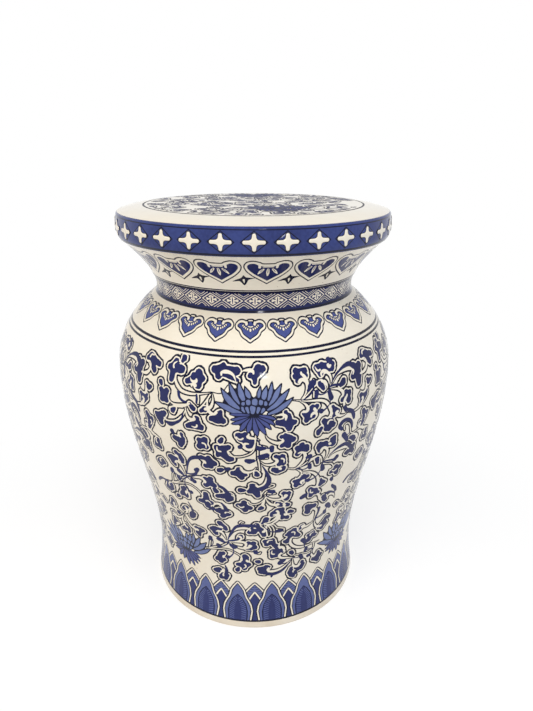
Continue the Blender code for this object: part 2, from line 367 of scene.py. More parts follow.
# Seat, the crowned disc on top.
# A slab of the same stoneware bedded in slip on the rim's ledge; the ivory glaze runs over the joint
# to the rim's edge, so that it reads as one plain ring round the painted middle.
SEAT_FLAT_RADIUS, GLAZE_EDGE_RADIUS = 0.1080, 0.1416
SEAT_CROWN = SEAT_TOP - RIM_TOP


def seat_height(radius):
    """The seat is flat in the middle and falls in a curve to the rim."""
    out = np.clip(radius - SEAT_FLAT_RADIUS, 0, None) / (GLAZE_EDGE_RADIUS - SEAT_FLAT_RADIUS)
    return SEAT_TOP - SKIN_DEPTH - SEAT_CROWN * out ** 2.2


def seat_outline():
    under = RIM_TOP - SEAT_THICKNESS
    across = [GLAZE_EDGE_RADIUS * i / 48 for i in range(49)]
    top = [(x, float(seat_height(x))) for x in across]
    lip = [(GLAZE_EDGE_RADIUS, RIM_TOP - 2 * SKIN_DEPTH), (SEAT_RADIUS, RIM_TOP - 2 * SKIN_DEPTH)]
    return top + lip + [(SEAT_RADIUS * i / 4, under) for i in range(4, -1, -1)]


seat = spun("seat", seat_outline(), closed=False)
seat.data.materials.append(IVORY)
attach(seat, "root")
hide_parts("seat_disc")

# Painted lotus scroll on the body.
# Cobalt brushed on the slip and glazed over, four times round: lobed leaves, each inside a white
# margin and a dark outline, white curls that run to them from the stems, and small solid buds.
FAR, CELL, MARK_REACH = 9.0, 0.4, 4


class Sheet:
    """One repeat of a painted band, opened flat: degrees round the stool, millimetres up it.

    A field has a number for each of its cells: the millimetres to an edge, below zero inside it and
    no more than FAR outside. Marks change only the cells within MARK_REACH of them."""

    def __init__(self, radius, low, high, repeats, start=0.0, cell=CELL, surface=None):
        self.surface = surface or on_wall(radius)
        self.repeats, self.start, self.period = repeats, start, 360.0 / repeats
        self.height = np.linspace(low, high, round((high - low) / cell) + 1)
        self.degree = radius(self.height * MM) / MM * math.pi / 180
        self.middle = float(np.mean(self.degree))
        half = self.period / 2
        self.turn = np.linspace(-half, half, round(self.period * self.middle / cell) + 1)

    def placed(self, marks, turn, level):
        """Marks in millimetres about a spot, turned into degrees and heights."""
        return [(turn + x / self.degree_at(level + y), level + y, *rest) for x, y, *rest in marks]

    def degree_at(self, level):
        """Millimetres across in one degree."""
        return np.interp(level, self.height, self.degree)

    def short(self, turns):
        """Degrees across, by the shorter way round the repeat."""
        return (turns + self.period / 2) % self.period - self.period / 2

    def band(self, low, high):
        """A plain line round the sheet, between two levels."""
        return np.maximum(low - self.height, self.height - high)[:, None] + 0 * self.turn

    def blank(self):
        return np.full((len(self.height), len(self.turn)), FAR)

    def window(self, marks, reach):
        """The rows and columns within reach of some marks."""
        turns, levels = [m[0] for m in marks], [m[1] for m in marks]
        rows = np.nonzero((self.height > min(levels) - reach) & (self.height < max(levels) + reach))[0]
        span, pad = max(turns) - min(turns), reach / self.degree.min()
        offset = (self.turn - min(turns) + pad) % self.period
        return rows, np.nonzero(offset <= span + 2 * pad)[0]

    def away(self, rows, columns, turn, level):
        """Millimetres across and up from a point to the cells of a window."""
        x = self.short(self.turn[columns][None, :] - turn) * self.degree[rows][:, None]
        return x, self.height[rows][:, None] - level

    def capsule(self, rows, columns, a, b):
        """Distance from a mark that swells or tapers from one spot to the next."""
        x, y = self.away(rows, columns, (a[0] + b[0]) / 2, (a[1] + b[1]) / 2)
        run, rise = (b[0] - a[0]) / 2 * self.degree[rows][:, None], (b[1] - a[1]) / 2
        along = np.clip((x * run + y * rise) / np.maximum(run * run + rise * rise, 1e-9), -1, 1)
        return np.hypot(x - along * run, y - along * rise) - ((a[2] + b[2]) / 2 + along * (b[2] - a[2]) / 2)

    def leaf(self, field, marks, blend=0.9):
        """Lobes that flow out of the first mark and melt into each other."""
        rows, columns = self.window(marks, max(m[2] for m in marks) + MARK_REACH)
        total = sum(np.exp(-np.clip(self.capsule(rows, columns, marks[0], lobe), -20, 20) / blend)
                    for lobe in marks[1:] or marks)
        place = np.ix_(rows, columns)
        field[place] = np.minimum(field[place], -blend * np.log(total))

    def stroke(self, field, marks, width=None, smooth=True):
        """One brush stroke through the marks."""
        marks = [(m[0], m[1], width if width else m[2]) for m in marks]
        marks = curve(marks) if smooth and len(marks) > 2 else marks
        for a, b in zip(marks, marks[1:]):
            rows, columns = self.window((a, b), max(a[2], b[2]) + MARK_REACH)
            place = np.ix_(rows, columns)
            field[place] = np.minimum(field[place], self.capsule(rows, columns, a, b))

    def shape(self, marks, smooth=False):
        """Signed distance from a closed outline; it must not be wider than one repeat."""
        marks = curve([(m[0], m[1], 0) for m in marks] + [(*marks[0][:2], 0)]) if smooth else marks
        turns = [m[0] for m in marks]
        middle = (min(turns) + max(turns)) / 2
        x = self.short(self.turn[None, :] - middle) * self.degree[:, None]
        y = self.height[:, None] + 0 * x
        inside, nearest = np.zeros(y.shape, bool), np.full(y.shape, FAR)
        for a, b in zip(marks, list(marks[1:]) + [marks[0]]):
            start, end = (a[0] - middle) * self.degree[:, None], (b[0] - middle) * self.degree[:, None]
            run, rise = end - start, b[1] - a[1]
            length = np.maximum(run * run + rise * rise, 1e-9)
            along = np.clip(((x - start) * run + (y - a[1]) * rise) / length, 0, 1)
            nearest = np.minimum(nearest, np.hypot(x - start - along * run, y - a[1] - along * rise))
            if rise:
                inside ^= ((y >= a[1]) != (y >= b[1])) & (x < start + (y - a[1]) / rise * run)
        return np.where(inside, -nearest, nearest)

    def sample(self, field, x, y):
        """The field between its cells, at points in millimetres."""
        column = (x / self.middle - self.turn[0]) / (self.turn[1] - self.turn[0])
        row = (y - self.height[0]) / (self.height[1] - self.height[0])
        i = np.clip(row.astype(int), 0, len(self.height) - 2)
        j = np.clip(column.astype(int), 0, len(self.turn) - 2)
        u, v = column - j, row - i
        low = field[i, j] * (1 - u) + field[i, j + 1] * u
        return low * (1 - v) + (field[i + 1, j] * (1 - u) + field[i + 1, j + 1] * u) * v


def curve(marks, cuts=4):
    """A smooth curve through the given marks."""
    marks = np.array(marks, dtype=float)
    ends = np.vstack([2 * marks[0] - marks[1], marks, 2 * marks[-1] - marks[-2]])
    points = []
    for p0, p1, p2, p3 in zip(ends, ends[1:], ends[2:], ends[3:]):
        for t in np.arange(cuts) / cuts:
            points.append(0.5 * (2 * p1 + (p2 - p0) * t + (2 * p0 - 5 * p1 + 4 * p2 - p3) * t * t
                                 + (3 * p1 - p0 - 3 * p2 + p3) * t ** 3))
    return [tuple(p) for p in points] + [tuple(marks[-1])]


# the sides of a cell (bottom, left, top, right) that an edge joins, by which of its corners are inside
CROSSINGS = {1: ["lb"], 2: ["br"], 3: ["lr"], 4: ["rt"], 5: ["lb", "rt"], 6: ["bt"], 7: ["lt"], 8: ["lt"],
             9: ["bt"], 10: ["br", "lt"], 11: ["rt"], 12: ["lr"], 13: ["br"], 14: ["lb"]}


def outlines(sheet, field):
    """The edges of the area where the field is below zero, as chains of points in millimetres."""
    wide = field.shape[1]
    inside = (field < 0).astype(int)
    corners = inside[:-1, :-1] + 2 * inside[:-1, 1:] + 4 * inside[1:, 1:] + 8 * inside[1:, :-1]
    joined = {}
    for case, pairs in CROSSINGS.items():
        i, j = np.nonzero(corners == case)
        side = {"b": 2 * (i * wide + j), "l": 2 * (i * wide + j) + 1,
                "t": 2 * ((i + 1) * wide + j), "r": 2 * (i * wide + j + 1) + 1}
        for start, end in pairs:
            for a, b in zip(side[start].tolist(), side[end].tolist()):
                joined.setdefault(a, []).append(b)
                joined.setdefault(b, []).append(a)

    def point(key):
        i, j = divmod(key // 2, wide)
        upward = key % 2
        here, there = field[i, j], field[i + upward, j + 1 - upward]
        part = here / (here - there)
        turn = sheet.turn[j] + (0 if upward else part * (sheet.turn[j + 1] - sheet.turn[j]))
        level = sheet.height[i] + (part * (sheet.height[i + 1] - sheet.height[i]) if upward else 0)
        return turn * sheet.middle, level

    chains, used = [], set()
    for first in sorted(joined, key=lambda key: len(joined[key])):
        if first in used:
            continue
        keys = [first]
        used.add(first)
        while True:
            onward = [key for key in joined[keys[-1]] if key not in used]
            if not onward:
                break
            keys.append(onward[0])
            used.add(onward[0])
        if len(keys) > 2 and first in joined[keys[-1]]:
            keys.append(first)
        chains.append(np.array([point(key) for key in keys]))
    return chains


def fewer(points, slack):
    """Leaves out the points that lie within the slack of the line through those that stay."""
    keep, todo = {0, len(points) - 1}, [(0, len(points) - 1)]
    while todo:
        first, last = todo.pop()
        if last - first < 2:
            continue
        span = points[last] - points[first]
        between = points[first + 1:last] - points[first]
        length = np.hypot(*span)
        if length > 1e-9:
            off = np.abs(between[:, 0] * span[1] - between[:, 1] * span[0]) / length
        else:
            off = np.hypot(between[:, 0], between[:, 1])
        worst = int(np.argmax(off))
        if off[worst] > slack:
            keep.add(first + 1 + worst)
            todo += [(first, first + 1 + worst), (first + 1 + worst, last)]
    return points[sorted(keep)]


def divided(points, spacing):
    """Cuts long steps of a chain into shorter ones."""
    out = [points[0]]
    for a, b in zip(points, points[1:]):
        steps = max(1, math.ceil(np.hypot(*(b - a)) / spacing))
        out += [a + (b - a) * (i + 1) / steps for i in range(steps)]
    return np.array(out)


# as shares of the spacing: from row to row, and how far inside a point lies, also on the seam
ROW_STEP, INSET, SEAM_INSET = 0.87, 0.42, 0.25


def triangles(sheet, field, spacing, slack, depths):
    """Fills the area where the field is below zero with triangles that follow its outlines."""
    verts, edges = [], []
    for chain in (chain for depth in depths for chain in outlines(sheet, field + depth)):
        chain = divided(fewer(chain, slack), spacing)
        closed = len(chain) > 3 and np.allclose(chain[0], chain[-1])
        if closed:
            chain = chain[:-1]
        start = len(verts)
        verts += chain.tolist()
        edges += [(start + i, start + i + 1) for i in range(len(chain) - 1)]
        if closed:
            edges.append((start + len(chain) - 1, start))
    left, right = sheet.turn[0] * sheet.middle, sheet.turn[-1] * sheet.middle
    low, high = sheet.height[0], sheet.height[-1]
    verts += [[left, low], [right, low], [left, high], [right, high]]
    for level in np.arange(low + spacing, high, spacing):
        if sheet.sample(field, np.array([left]), np.array([level]))[0] < -SEAM_INSET * spacing:
            verts += [[left, level], [right, level]]
    columns = np.arange(left + spacing, right - 0.6 * spacing, spacing)
    x, y = np.meshgrid(columns, np.arange(low, high, spacing * ROW_STEP))
    x = x + (np.arange(len(x)) % 2)[:, None] * spacing / 2 - spacing / 4
    x, y = x.ravel(), y.ravel()
    deep = sheet.sample(field, x, y) < -INSET * spacing
    verts += np.stack([x[deep], y[deep]], 1).tolist()
    points, _, faces, *_ = delaunay_2d_cdt([Vector(v) for v in verts], edges, [], 0, 1e-7)
    points, faces = np.array([tuple(p) for p in points]), np.array([f for f in faces if len(f) == 3])
    centre = points[faces].mean(axis=1)
    return points, faces[sheet.sample(field, centre[:, 0], centre[:, 1]) < 0]


def steps_round(faces):
    """The sides of the triangles, each in the direction that it runs."""
    return dict.fromkeys((face[i - 1], face[i]) for face in faces.tolist() for i in (1, 2, 0))


ON_SEAM = 1e-4


def unpinched(points, faces, edge):
    """Gives each fan of triangles its own point where two areas touch at one point."""
    steps = steps_round(faces)
    starts = [a for a, b in steps if (b, a) not in steps and abs(abs(points[a][0]) - edge) > ON_SEAM]
    points = points.tolist()
    shared, times = np.unique(starts, return_counts=True)
    for point in shared[times > 1]:
        around = set(np.nonzero((faces == point).any(axis=1))[0].tolist())
        while around:
            fan, found = set(), {around.pop()}
            while found:
                fan |= found
                around -= found
                found = {f for f in around if any(len(set(faces[f]) & set(faces[g])) > 1 for g in fan)}
            if around:
                points.append(points[point])
                for f in fan:
                    faces[f] = np.where(faces[f] == point, len(points) - 1, faces[f])
    return np.array(points), faces


BACK = 0.12 * MM
NUDGE = 0.1
BAKE_MAP, BAKE_SHIFT = "OFBake", 0.003
MAP_SPREAD, MAP_EDGE = 0.99, 0.002


def painted(name, sheet, field, lift, material, spacing=3.2, slack=0.05, relief=((0, 0),)):
    """Lays the area where the field is below zero on the surface as a thin closed film of colour.

    Relief lists how many millimetres it rises at each depth inside its outline."""
    field = field.copy()
    field[:, -1] = field[:, 0]
    field[0], field[-1] = np.maximum(field[0], 0.1), np.maximum(field[-1], 0.1)
    edge = sheet.turn[-1] * sheet.middle
    depths = [depth for depth, _ in relief]
    points, faces = unpinched(*triangles(sheet, field, spacing, slack, depths), edge)

    def top_at(k, across, up):
        """The top of the film, at this many millimetres from its points."""
        x, y = points[:, 0] + across, points[:, 1] + up
        rise = np.interp(-sheet.sample(field, x, y), *zip(*relief)) * MM
        return sheet.surface(x / sheet.middle + k * sheet.period + sheet.start, y, lift + rise)

    count = len(points)
    left, right = (np.nonzero(np.abs(points[:, 0] - side) < ON_SEAM)[0] for side in (-edge, edge))
    left, right = left[np.argsort(points[left, 1])], right[np.argsort(points[right, 1])]
    twin = dict(zip(left.tolist(), right.tolist())) | dict(zip(right.tolist(), left.tolist()))
    steps = steps_round(faces)
    rim = np.array([(a, b) for a, b in steps
                    if (b, a) not in steps and (twin.get(b), twin.get(a)) not in steps])
    turn, level = points[:, 0] / sheet.middle, points[:, 1]
    copies = max(1, int(sheet.repeats))
    welded = np.arange(2 * count * copies)
    places, normals, maps = [], [], []
    for k in range(copies):
        places += [top_at(k, 0, 0), sheet.surface(turn + k * sheet.period + sheet.start, level, -BACK)]
        across = top_at(k, NUDGE, 0) - top_at(k, -NUDGE, 0)
        facing = np.cross(across, top_at(k, 0, NUDGE) - top_at(k, 0, -NUDGE))
        facing /= np.linalg.norm(facing, axis=1)[:, None]
        normals += [facing, -facing]
        u = (turn + (k + 0.5) * sheet.period) / (copies * sheet.period) * MAP_SPREAD + MAP_EDGE
        v = (level - sheet.height[0]) / (sheet.height[-1] - sheet.height[0]) * MAP_SPREAD + MAP_EDGE
        maps += [np.stack([u, v], 1), np.stack([u + BAKE_SHIFT / 2, v + BAKE_SHIFT], 1)]
        onward = (k + 1) % copies
        for side in (0, count):
            welded[2 * count * k + side + right] = 2 * count * onward + side + left
    tops = np.concatenate([faces + 2 * count * k for k in range(copies)])
    backs = tops[:, ::-1] + count
    walls = np.concatenate([rim + 2 * count * k for k in range(copies)])
    walls = np.stack([walls[:, 1], walls[:, 0], walls[:, 0] + count, walls[:, 1] + count], 1)
    corners = np.concatenate([tops.ravel(), backs.ravel(), walls.ravel()])
    kept, renumbered = np.unique(welded[corners], return_inverse=True)
    places, normals, maps = np.concatenate(places), np.concatenate(normals), np.concatenate(maps)
    threes = 3 * (len(tops) + len(backs))
    polygons = renumbered[:threes].reshape(-1, 3).tolist() + renumbered[threes:].reshape(-1, 4).tolist()
    mesh = bpy.data.meshes.new(name)
    mesh.from_pydata(places[kept].tolist(), [], polygons)
    mesh.uv_layers.new(name=BAKE_MAP).data.foreach_set("uv", maps[corners].ravel())
    quads = places[walls]
    flat = np.cross(quads[:, 2] - quads[:, 0], quads[:, 3] - quads[:, 1])
    flat /= np.maximum(np.linalg.norm(flat, axis=1), 1e-12)[:, None]
    mesh.polygons.foreach_set("use_smooth", np.ones(len(polygons), bool))
    facing = np.concatenate([normals[corners[:threes]], np.repeat(flat, 4, axis=0)])
    mesh.normals_split_custom_set(facing.tolist())
    piece = bpy.data.objects.new(name, mesh)
    bpy.context.scene.collection.objects.link(piece)
    mesh.materials.append(material)
    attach(piece, "root")


def on_wall(radius):
    """Places points, given by degrees, millimetres up and lift, on a turned surface."""
    def place(turn, level, lift):
        z, angle = level * MM, np.radians(turn)
        lean = slope(radius, z)
        length = np.hypot(1.0, lean)
        depth = (SKIN_DEPTH - lift) / length
        out = radius(z) - depth
        return np.stack([out * np.sin(angle), -out * np.cos(angle), z + depth * lean], -1)
    return place


DARK_LIFT, WHITE_LIFT, COLOUR_LIFT, DETAIL_LIFT = 0.06 * MM, 0.11 * MM, 0.16 * MM, 0.21 * MM


def both(marks):
    """Half an outline and its mirror image, as one closed outline."""
    return marks + [(-m[0], *m[1:]) for m in marks[::-1] if m[0]]


def merged(*fields):
    return np.minimum.reduce(fields)


def overlap(*fields):
    return np.maximum.reduce(fields)


# a leaf's middle and then its lobes: degrees round, millimetres up, and radius in millimetres
LEAVES = [
    [(-43.3, 328.2, 2.8), (-44.8, 326.8, 1.5), (-41.9, 327.4, 2.6), (-40.9, 323, 1.8), (-40, 318.3, 2.2),
     (-37.9, 324.6, 1.7)],
    [(-30.6, 326, 3.2), (-30.4, 330.8, 2.2), (-32.7, 325.4, 1.8), (-27.4, 325, 2.8), (-30.7, 321.5, 2),
     (-31.3, 314.6, 1.9)],
    [(-27.2, 334.6, 2.2), (-27.6, 332.5, 1)],
    [(-20.2, 320.8, 3.4), (-20.3, 324.8, 2.6), (-22.3, 322, 1.6), (-18.6, 320, 1.8), (-20.2, 313.8, 2.8),
     (-24.6, 315.9, 1.6)],
    [(-12.7, 328.8, 2.8), (-14.6, 329.3, 2.2), (-11.5, 332.4, 2), (-12.9, 324.2, 2.3), (-9, 329.4, 1.9),
     (-6.5, 328.8, 2.8), (-6, 321, 0.7)],
    [(-0.1, 326.2, 2.2), (1.1, 331.8, 2.2), (2.8, 331, 2), (1.6, 328.2, 1.8), (-1.7, 325.3, 1.4),
     (0, 319, 0.8)],
    [(16.5, 324.2, 3.2), (14.7, 327.3, 1.9), (18, 326.6, 2.1), (18.4, 322.3, 1.2), (14.3, 322.7, 1.6),
     (15.1, 318.5, 1.5)],
    [(20.6, 314.6, 1.7), (21.4, 315.8, 0.9), (19.6, 312.6, 1.3), (18.8, 308.6, 0.5)],
    [(24, 326, 2.9), (22.9, 327.4, 2.1), (25.4, 328.8, 2), (24.2, 321.6, 1.8), (29.1, 325.2, 2.6),
     (30.1, 328.2, 1.4)],
    [(28.5, 332, 1.7), (29.4, 330.4, 1.1)],
    [(23.7, 312.9, 2.1), (24.8, 308, 1)],
    [(22, 305.8, 1.4), (21.8, 301.6, 0.9)],
    [(27.9, 297.2, 1.8), (27.2, 303, 1.2)],
    [(33.5, 309.4, 2.2), (32.3, 307.4, 1.5), (33.9, 311.4, 1.5)],
    [(41.2, 316, 4.2), (42.7, 320.2, 2.6), (38.6, 311.4, 2.3), (42.1, 309.5, 2.6), (41.6, 303, 2.6),
     (39.8, 320.8, 2.6)],
    [(-42.3, 299.8, 2.2), (-43.3, 303, 1), (-41.2, 301, 1.3)],
    [(35.2, 294.4, 3.4), (34.6, 298.6, 2), (36.3, 297.6, 1.9), (33, 292, 1.9), (36.2, 288.8, 2)],
    [(-34.3, 297.5, 3.4), (-35.6, 302.2, 1.9), (-33, 302.4, 2.1), (-35.2, 292.8, 2.2), (-33.2, 292.6, 1.9)],
    [(-36, 309.2, 1.9), (-35.6, 307.4, 1)],
    [(-30.6, 283.6, 1.9), (-29.6, 287, 0.8)],
    [(-22, 290.6, 1.9), (-23.3, 294.6, 0.9)],
    [(-17.6, 291.8, 2), (-19, 289.6, 1), (-16.8, 292.8, 0.8)],
    [(-13, 283.6, 3.9), (-15.2, 282.8, 2), (-11.2, 281.8, 2.4), (-12.5, 288.6, 2), (-11.8, 291, 1)],
    [(11.7, 278.6, 3.6), (8, 280.2, 2.2), (11.4, 286.8, 2), (13.7, 279, 2), (11.9, 273.2, 2.3),
     (10.5, 291, 0.9)],
    [(19, 283.2, 3.3), (20.3, 291.2, 2.4), (22, 291.8, 1.7), (18.2, 279, 1.8), (17.1, 286.4, 1.2),
     (21, 282, 1.2)],
    [(23.9, 285.8, 1.6), (23, 287, 0.9)],
    [(30.4, 280.6, 2.4), (29.6, 283.8, 2), (31, 281.6, 1.8), (29.2, 277.2, 1.1), (28.6, 287.8, 0.9)],
    [(27.3, 270.4, 3.8), (25.4, 274.2, 2.5), (26.4, 265.4, 2.2), (29.3, 267.6, 2.4), (28.4, 272.2, 2.2),
     (27.7, 264.4, 2.1)],
    [(23.4, 264, 2), (24.3, 267, 1.2), (23.2, 261.8, 1.4)],
    [(34.4, 282.4, 1.5), (35, 279.6, 1.3)],
    [(-45.7, 285.2, 3.4), (-46.6, 280.8, 2.3), (-44, 287, 2.2), (-47.2, 289, 1.9), (-43.6, 290.6, 1.3)],
    [(-37.3, 271.8, 3.6), (-35.4, 276.4, 2.5), (-34.5, 278.2, 1.8), (-38.6, 274.2, 2), (-36.7, 266.6, 2.4)],
    [(-21.2, 273.6, 3.2), (-20.8, 280.8, 2), (-19.4, 272, 2.6), (-23.4, 272.6, 2), (-24.6, 270.8, 1.6),
     (-20.6, 277.4, 2.4)],
    [(-4.6, 264.8, 3.6), (-5.9, 267.4, 2.2), (-3.4, 268.8, 1.6), (-2.9, 261.4, 2)],
    [(11.6, 262.4, 3.2), (9.3, 264.6, 1.3), (13.4, 260.6, 2.4), (10.6, 266, 1.4)],
    [(-12.6, 248.6, 3.4), (-13.9, 252, 2.2), (-9.6, 253.4, 1.9), (-11.6, 251.6, 2.4), (-13.6, 243, 1.7),
     (-9.8, 239.2, 2.4), (-11.4, 242.4, 2), (-8.6, 239.6, 1.8)],
    [(-12.4, 259.4, 1.9), (-11.8, 262, 1.2)],
    [(-17.4, 233.4, 3.1), (-17.4, 237.6, 2.1), (-15.4, 232, 2.4), (-17, 228, 2.4), (-18.9, 227.2, 1.9),
     (-20.4, 237.4, 1.5)],
    [(-13.6, 224.2, 2.1), (-12.6, 225.4, 1.4)],
    [(-10.9, 226.4, 1.3), (-9.8, 227.4, 0.9)],
    [(-6.2, 222.6, 3.2), (-6.2, 227.4, 2), (-8.4, 222, 2.2), (-4, 221.2, 2), (-5.3, 217.2, 2.2)],
    [(-2.2, 237.6, 1.7), (-0.7, 238.6, 0.8), (-3.2, 238.3, 1.2)],
    [(1.6, 252.6, 1.4), (3.3, 252.9, 0.8), (0.9, 254.2, 0.8)],
    [(4, 244.2, 1.7), (2.7, 243.2, 1.4), (1.4, 243.3, 0.8)],
    [(9.6, 238.4, 2.9), (9.9, 242, 2), (7.5, 242.4, 1.5), (10.3, 233.8, 2.1), (8.8, 233, 1.8)],
    [(8.2, 224.8, 2.1), (6.8, 226.6, 2), (10.2, 226.2, 1.8), (10.8, 228.4, 1)],
    [(16.8, 248.4, 3.2), (17, 252.6, 2), (18.9, 249.4, 2.1), (15.3, 249.4, 2), (15.5, 242.2, 1.8),
     (19.2, 245.6, 1.6)],
    [(20.7, 236.8, 1.5), (19.6, 236, 0.9)],
    [(21, 225.4, 1.3), (21.3, 221.8, 1)],
    [(17.2, 206, 2.8), (19, 212.4, 2), (20.7, 211.6, 1.5), (16.3, 202.2, 2.2), (18.2, 203.4, 1.6),
     (18.2, 209, 2.2), (15.3, 207.8, 1.2)],
    [(21.3, 205.4, 1.4), (20.4, 206, 0.8)],
    [(12.8, 190.2, 2.8), (11.4, 193.6, 1.9), (13.4, 192.8, 1.9), (12.7, 185.6, 2.3)],
    [(9.7, 178.6, 2), (10.9, 177, 1.8), (8.9, 180.6, 1)],
    [(13.5, 176.2, 1.9), (12.9, 178, 1)],
    [(6.9, 197.3, 1.7), (5.4, 198.2, 1)],
    [(-0.6, 201.8, 3.4), (-1.3, 206.8, 2.1), (-2.3, 198.8, 2.1), (0.4, 197.2, 2.6), (0.9, 193, 2),
     (-0.6, 205.2, 2.2)],
    [(-5.9, 200.2, 2.2), (-4.6, 200.3, 1.3)],
    [(-5.3, 177.6, 3.4), (-4.7, 183.2, 2), (-7.2, 178.6, 2.1), (-4.4, 172.2, 2.2), (-2.3, 175.4, 2)],
    [(2.4, 175.2, 2), (1.7, 173.8, 1.3)],
    [(0.6, 221, 1.9), (0.3, 223.6, 1.1)],
    [(-18.4, 206, 3.2), (-17.7, 211, 2.2), (-20.1, 210.4, 1.4), (-20.1, 201.4, 2), (-16.5, 202.8, 2.2)],
    [(-10.7, 190.8, 3.2), (-10.2, 187, 2.5), (-11.3, 184.8, 1.9), (-15.6, 188.8, 1.9), (-13.2, 189.4, 2)],
    [(-16, 195.4, 2.2), (-16.6, 198.2, 1.2)],
    [(-19.2, 253.4, 3.4), (-18.2, 258.8, 2.4), (-20.6, 249.8, 2.2), (-17.9, 250.6, 2), (-20.4, 257.6, 2)],
    [(-2.1, 257.2, 2.9), (-2.2, 253.9, 2), (-1.2, 261, 2), (-3.6, 261.6, 2.4)],
    [(-5.4, 254.4, 1.4), (-5, 255.6, 0.8)],
    [(5.9, 253.6, 1.3), (5.9, 249.6, 1)],
    [(11.5, 258.6, 3), (11.8, 253.8, 2), (9.4, 254.2, 1.2)],
    [(24.3, 246.2, 2.4), (24.4, 248.6, 2), (26.8, 248, 2.2), (24.6, 240.8, 1.7), (28, 245.4, 1.7)],
    [(30.4, 245.2, 2.4), (28, 245.4, 1.6), (29.6, 251, 1.8), (30.7, 252.6, 1.2)],
    [(23.9, 231.4, 1.9), (24.4, 225.8, 1)],
    [(27.3, 215.6, 1.8), (27, 219.6, 1.2)],
    [(33.5, 225.4, 1.8), (32.6, 223, 1.3)],
    [(41.2, 228.6, 3.1), (39.4, 224.6, 2.1), (42.8, 223, 1.9), (42.4, 231.2, 2.1), (38.2, 225.4, 1.2)],
    [(35.3, 251, 1.7), (36.5, 247.2, 1.5), (37.6, 242.6, 1.3)],
    [(41, 242.4, 2.2), (42.2, 238.6, 1.8), (39.4, 243.8, 1.2)],
    [(44.2, 255.2, 1.9), (44, 257.4, 1)],
    [(34.4, 208.6, 3), (34.1, 212.6, 1.9), (36.3, 210.2, 2), (32, 207, 1.6), (35.3, 203, 2)],
    [(33.2, 196.8, 1.5), (33.6, 194.8, 1)],
    [(28.2, 196.8, 2.2), (27.6, 194.6, 1.7), (29.2, 196.4, 1.7), (27.2, 201.6, 1)],
    [(24.4, 187, 3.2), (23, 191.8, 2), (25.7, 188.4, 2.1), (23.8, 182.4, 2), (27.1, 183.9, 1.8)],
    [(20.4, 183.8, 1.7), (19.6, 182.6, 1.6), (21.5, 186, 0.9)],
    [(31.6, 171, 2.4), (30.8, 174.4, 1.8), (32.2, 168.4, 2.1)],
    [(-28, 251.4, 2.8), (-28.6, 246.6, 2.2), (-30.9, 253.2, 2.1), (-27.2, 254.2, 1.8), (-27.6, 259.6, 1)],
    [(-31.8, 260.2, 1.6), (-31.4, 258, 0.9)],
    [(-41, 238.4, 2.9), (-40.3, 242, 2), (-41.9, 234.6, 2.1), (-39.8, 233.9, 2.1)],
    [(-34.2, 226.2, 2.4), (-35.2, 226, 2.2), (-34.1, 221.2, 2), (-33.2, 218.2, 1.4), (-32, 226.6, 1.6)],
    [(-29.3, 228.6, 2), (-29.9, 232.6, 1.8), (-31.7, 235.2, 1.6), (-29.1, 224.6, 1.4)],
    [(-32, 211.2, 1.7), (-30.4, 208, 0.9)],
    [(-33, 202, 1.4), (-32.6, 198.8, 1.2)],
    [(-35.8, 208.8, 1.6), (-36.1, 206, 0.9)],
    [(-41.6, 213.5, 3), (-40.4, 216.2, 2.2), (-42.2, 209.7, 2), (-39.5, 213.9, 1.7), (-43.2, 212.2, 1.7)],
    [(-23.3, 218.6, 1.8), (-22.7, 220.4, 1.2)],
    [(-25.2, 202.6, 1.7), (-26.2, 204.6, 1)],
    [(-31.7, 181, 2.9), (-31.1, 188.4, 1.7), (-32.3, 187, 1.6), (-33.4, 178, 2), (-30.8, 177.2, 2.2)],
    [(-27.9, 185.2, 1.4), (-28.8, 185.6, 0.8)],
    [(-35.8, 172.6, 1.9), (-36.5, 171.2, 1.3)],
    [(-21, 177.6, 3), (-20.9, 188.4, 2.1), (-21, 183, 2.4), (-24, 177, 1.8), (-20.8, 171.4, 2.3),
     (-18.9, 177, 2)],
    [(-40, 182.4, 3.2), (-39.1, 180.2, 2.7), (-42, 178.2, 1.8), (-40.3, 177.2, 2.2), (-38.6, 184.6, 1.9)],
    [(-43, 262.2, 3), (-44.6, 269.4, 2), (-43.8, 257.2, 2.2), (-44.4, 252.8, 1.1), (-41.8, 265.4, 1.7)],
    [(-12.8, 165, 3), (-14.4, 160.4, 2.2), (-11.8, 165, 2.4), (-16.6, 167.4, 2.2), (-15.3, 169.2, 2)],
    [(-18.6, 169, 1.7), (-19.8, 168.4, 1)],
    [(9.4, 168.6, 3), (11.2, 170.6, 2.2), (7.2, 166, 1.8), (6.9, 162.8, 1.2), (11.4, 166, 2.3)],
    [(12.4, 160.8, 2), (11.6, 164.4, 1.8), (13.9, 157.6, 2), (11.8, 157.6, 1.5)],
    [(14.9, 165.8, 1.9), (16.1, 165, 1.1)],
    [(4.6, 158.2, 2), (4.8, 155, 1), (2.8, 151.8, 0.4)],
    [(0, 145.8, 3.3), (0.4, 149.8, 2.4), (-1.9, 139.4, 2.4), (-2.9, 138.4, 1.8), (-0.7, 138.6, 2.1),
     (2.2, 142.4, 2.5)],
    [(3.2, 138.8, 2.4), (3.8, 134, 2), (2.3, 142, 1.8)],
    [(-7.1, 131, 1.9), (-6.8, 132.8, 1.2), (-7.8, 128.6, 1.2)],
    [(-2.2, 118.2, 3.2), (-3.4, 122.2, 2), (-1, 122.2, 2), (-4.3, 114.4, 2), (-0.7, 115.8, 2.5),
     (-2.2, 113.6, 2)],
    [(0, 107.6, 1.8), (-0.6, 109.4, 1.1)],
    [(6, 122.4, 3.2), (4.4, 124.2, 2), (7.7, 125.2, 2.4), (5.2, 119.4, 2.2), (8.4, 121.6, 1.9)],
    [(9.6, 116, 2.1), (8.4, 118.4, 1.3), (10.2, 112.8, 1.6)],
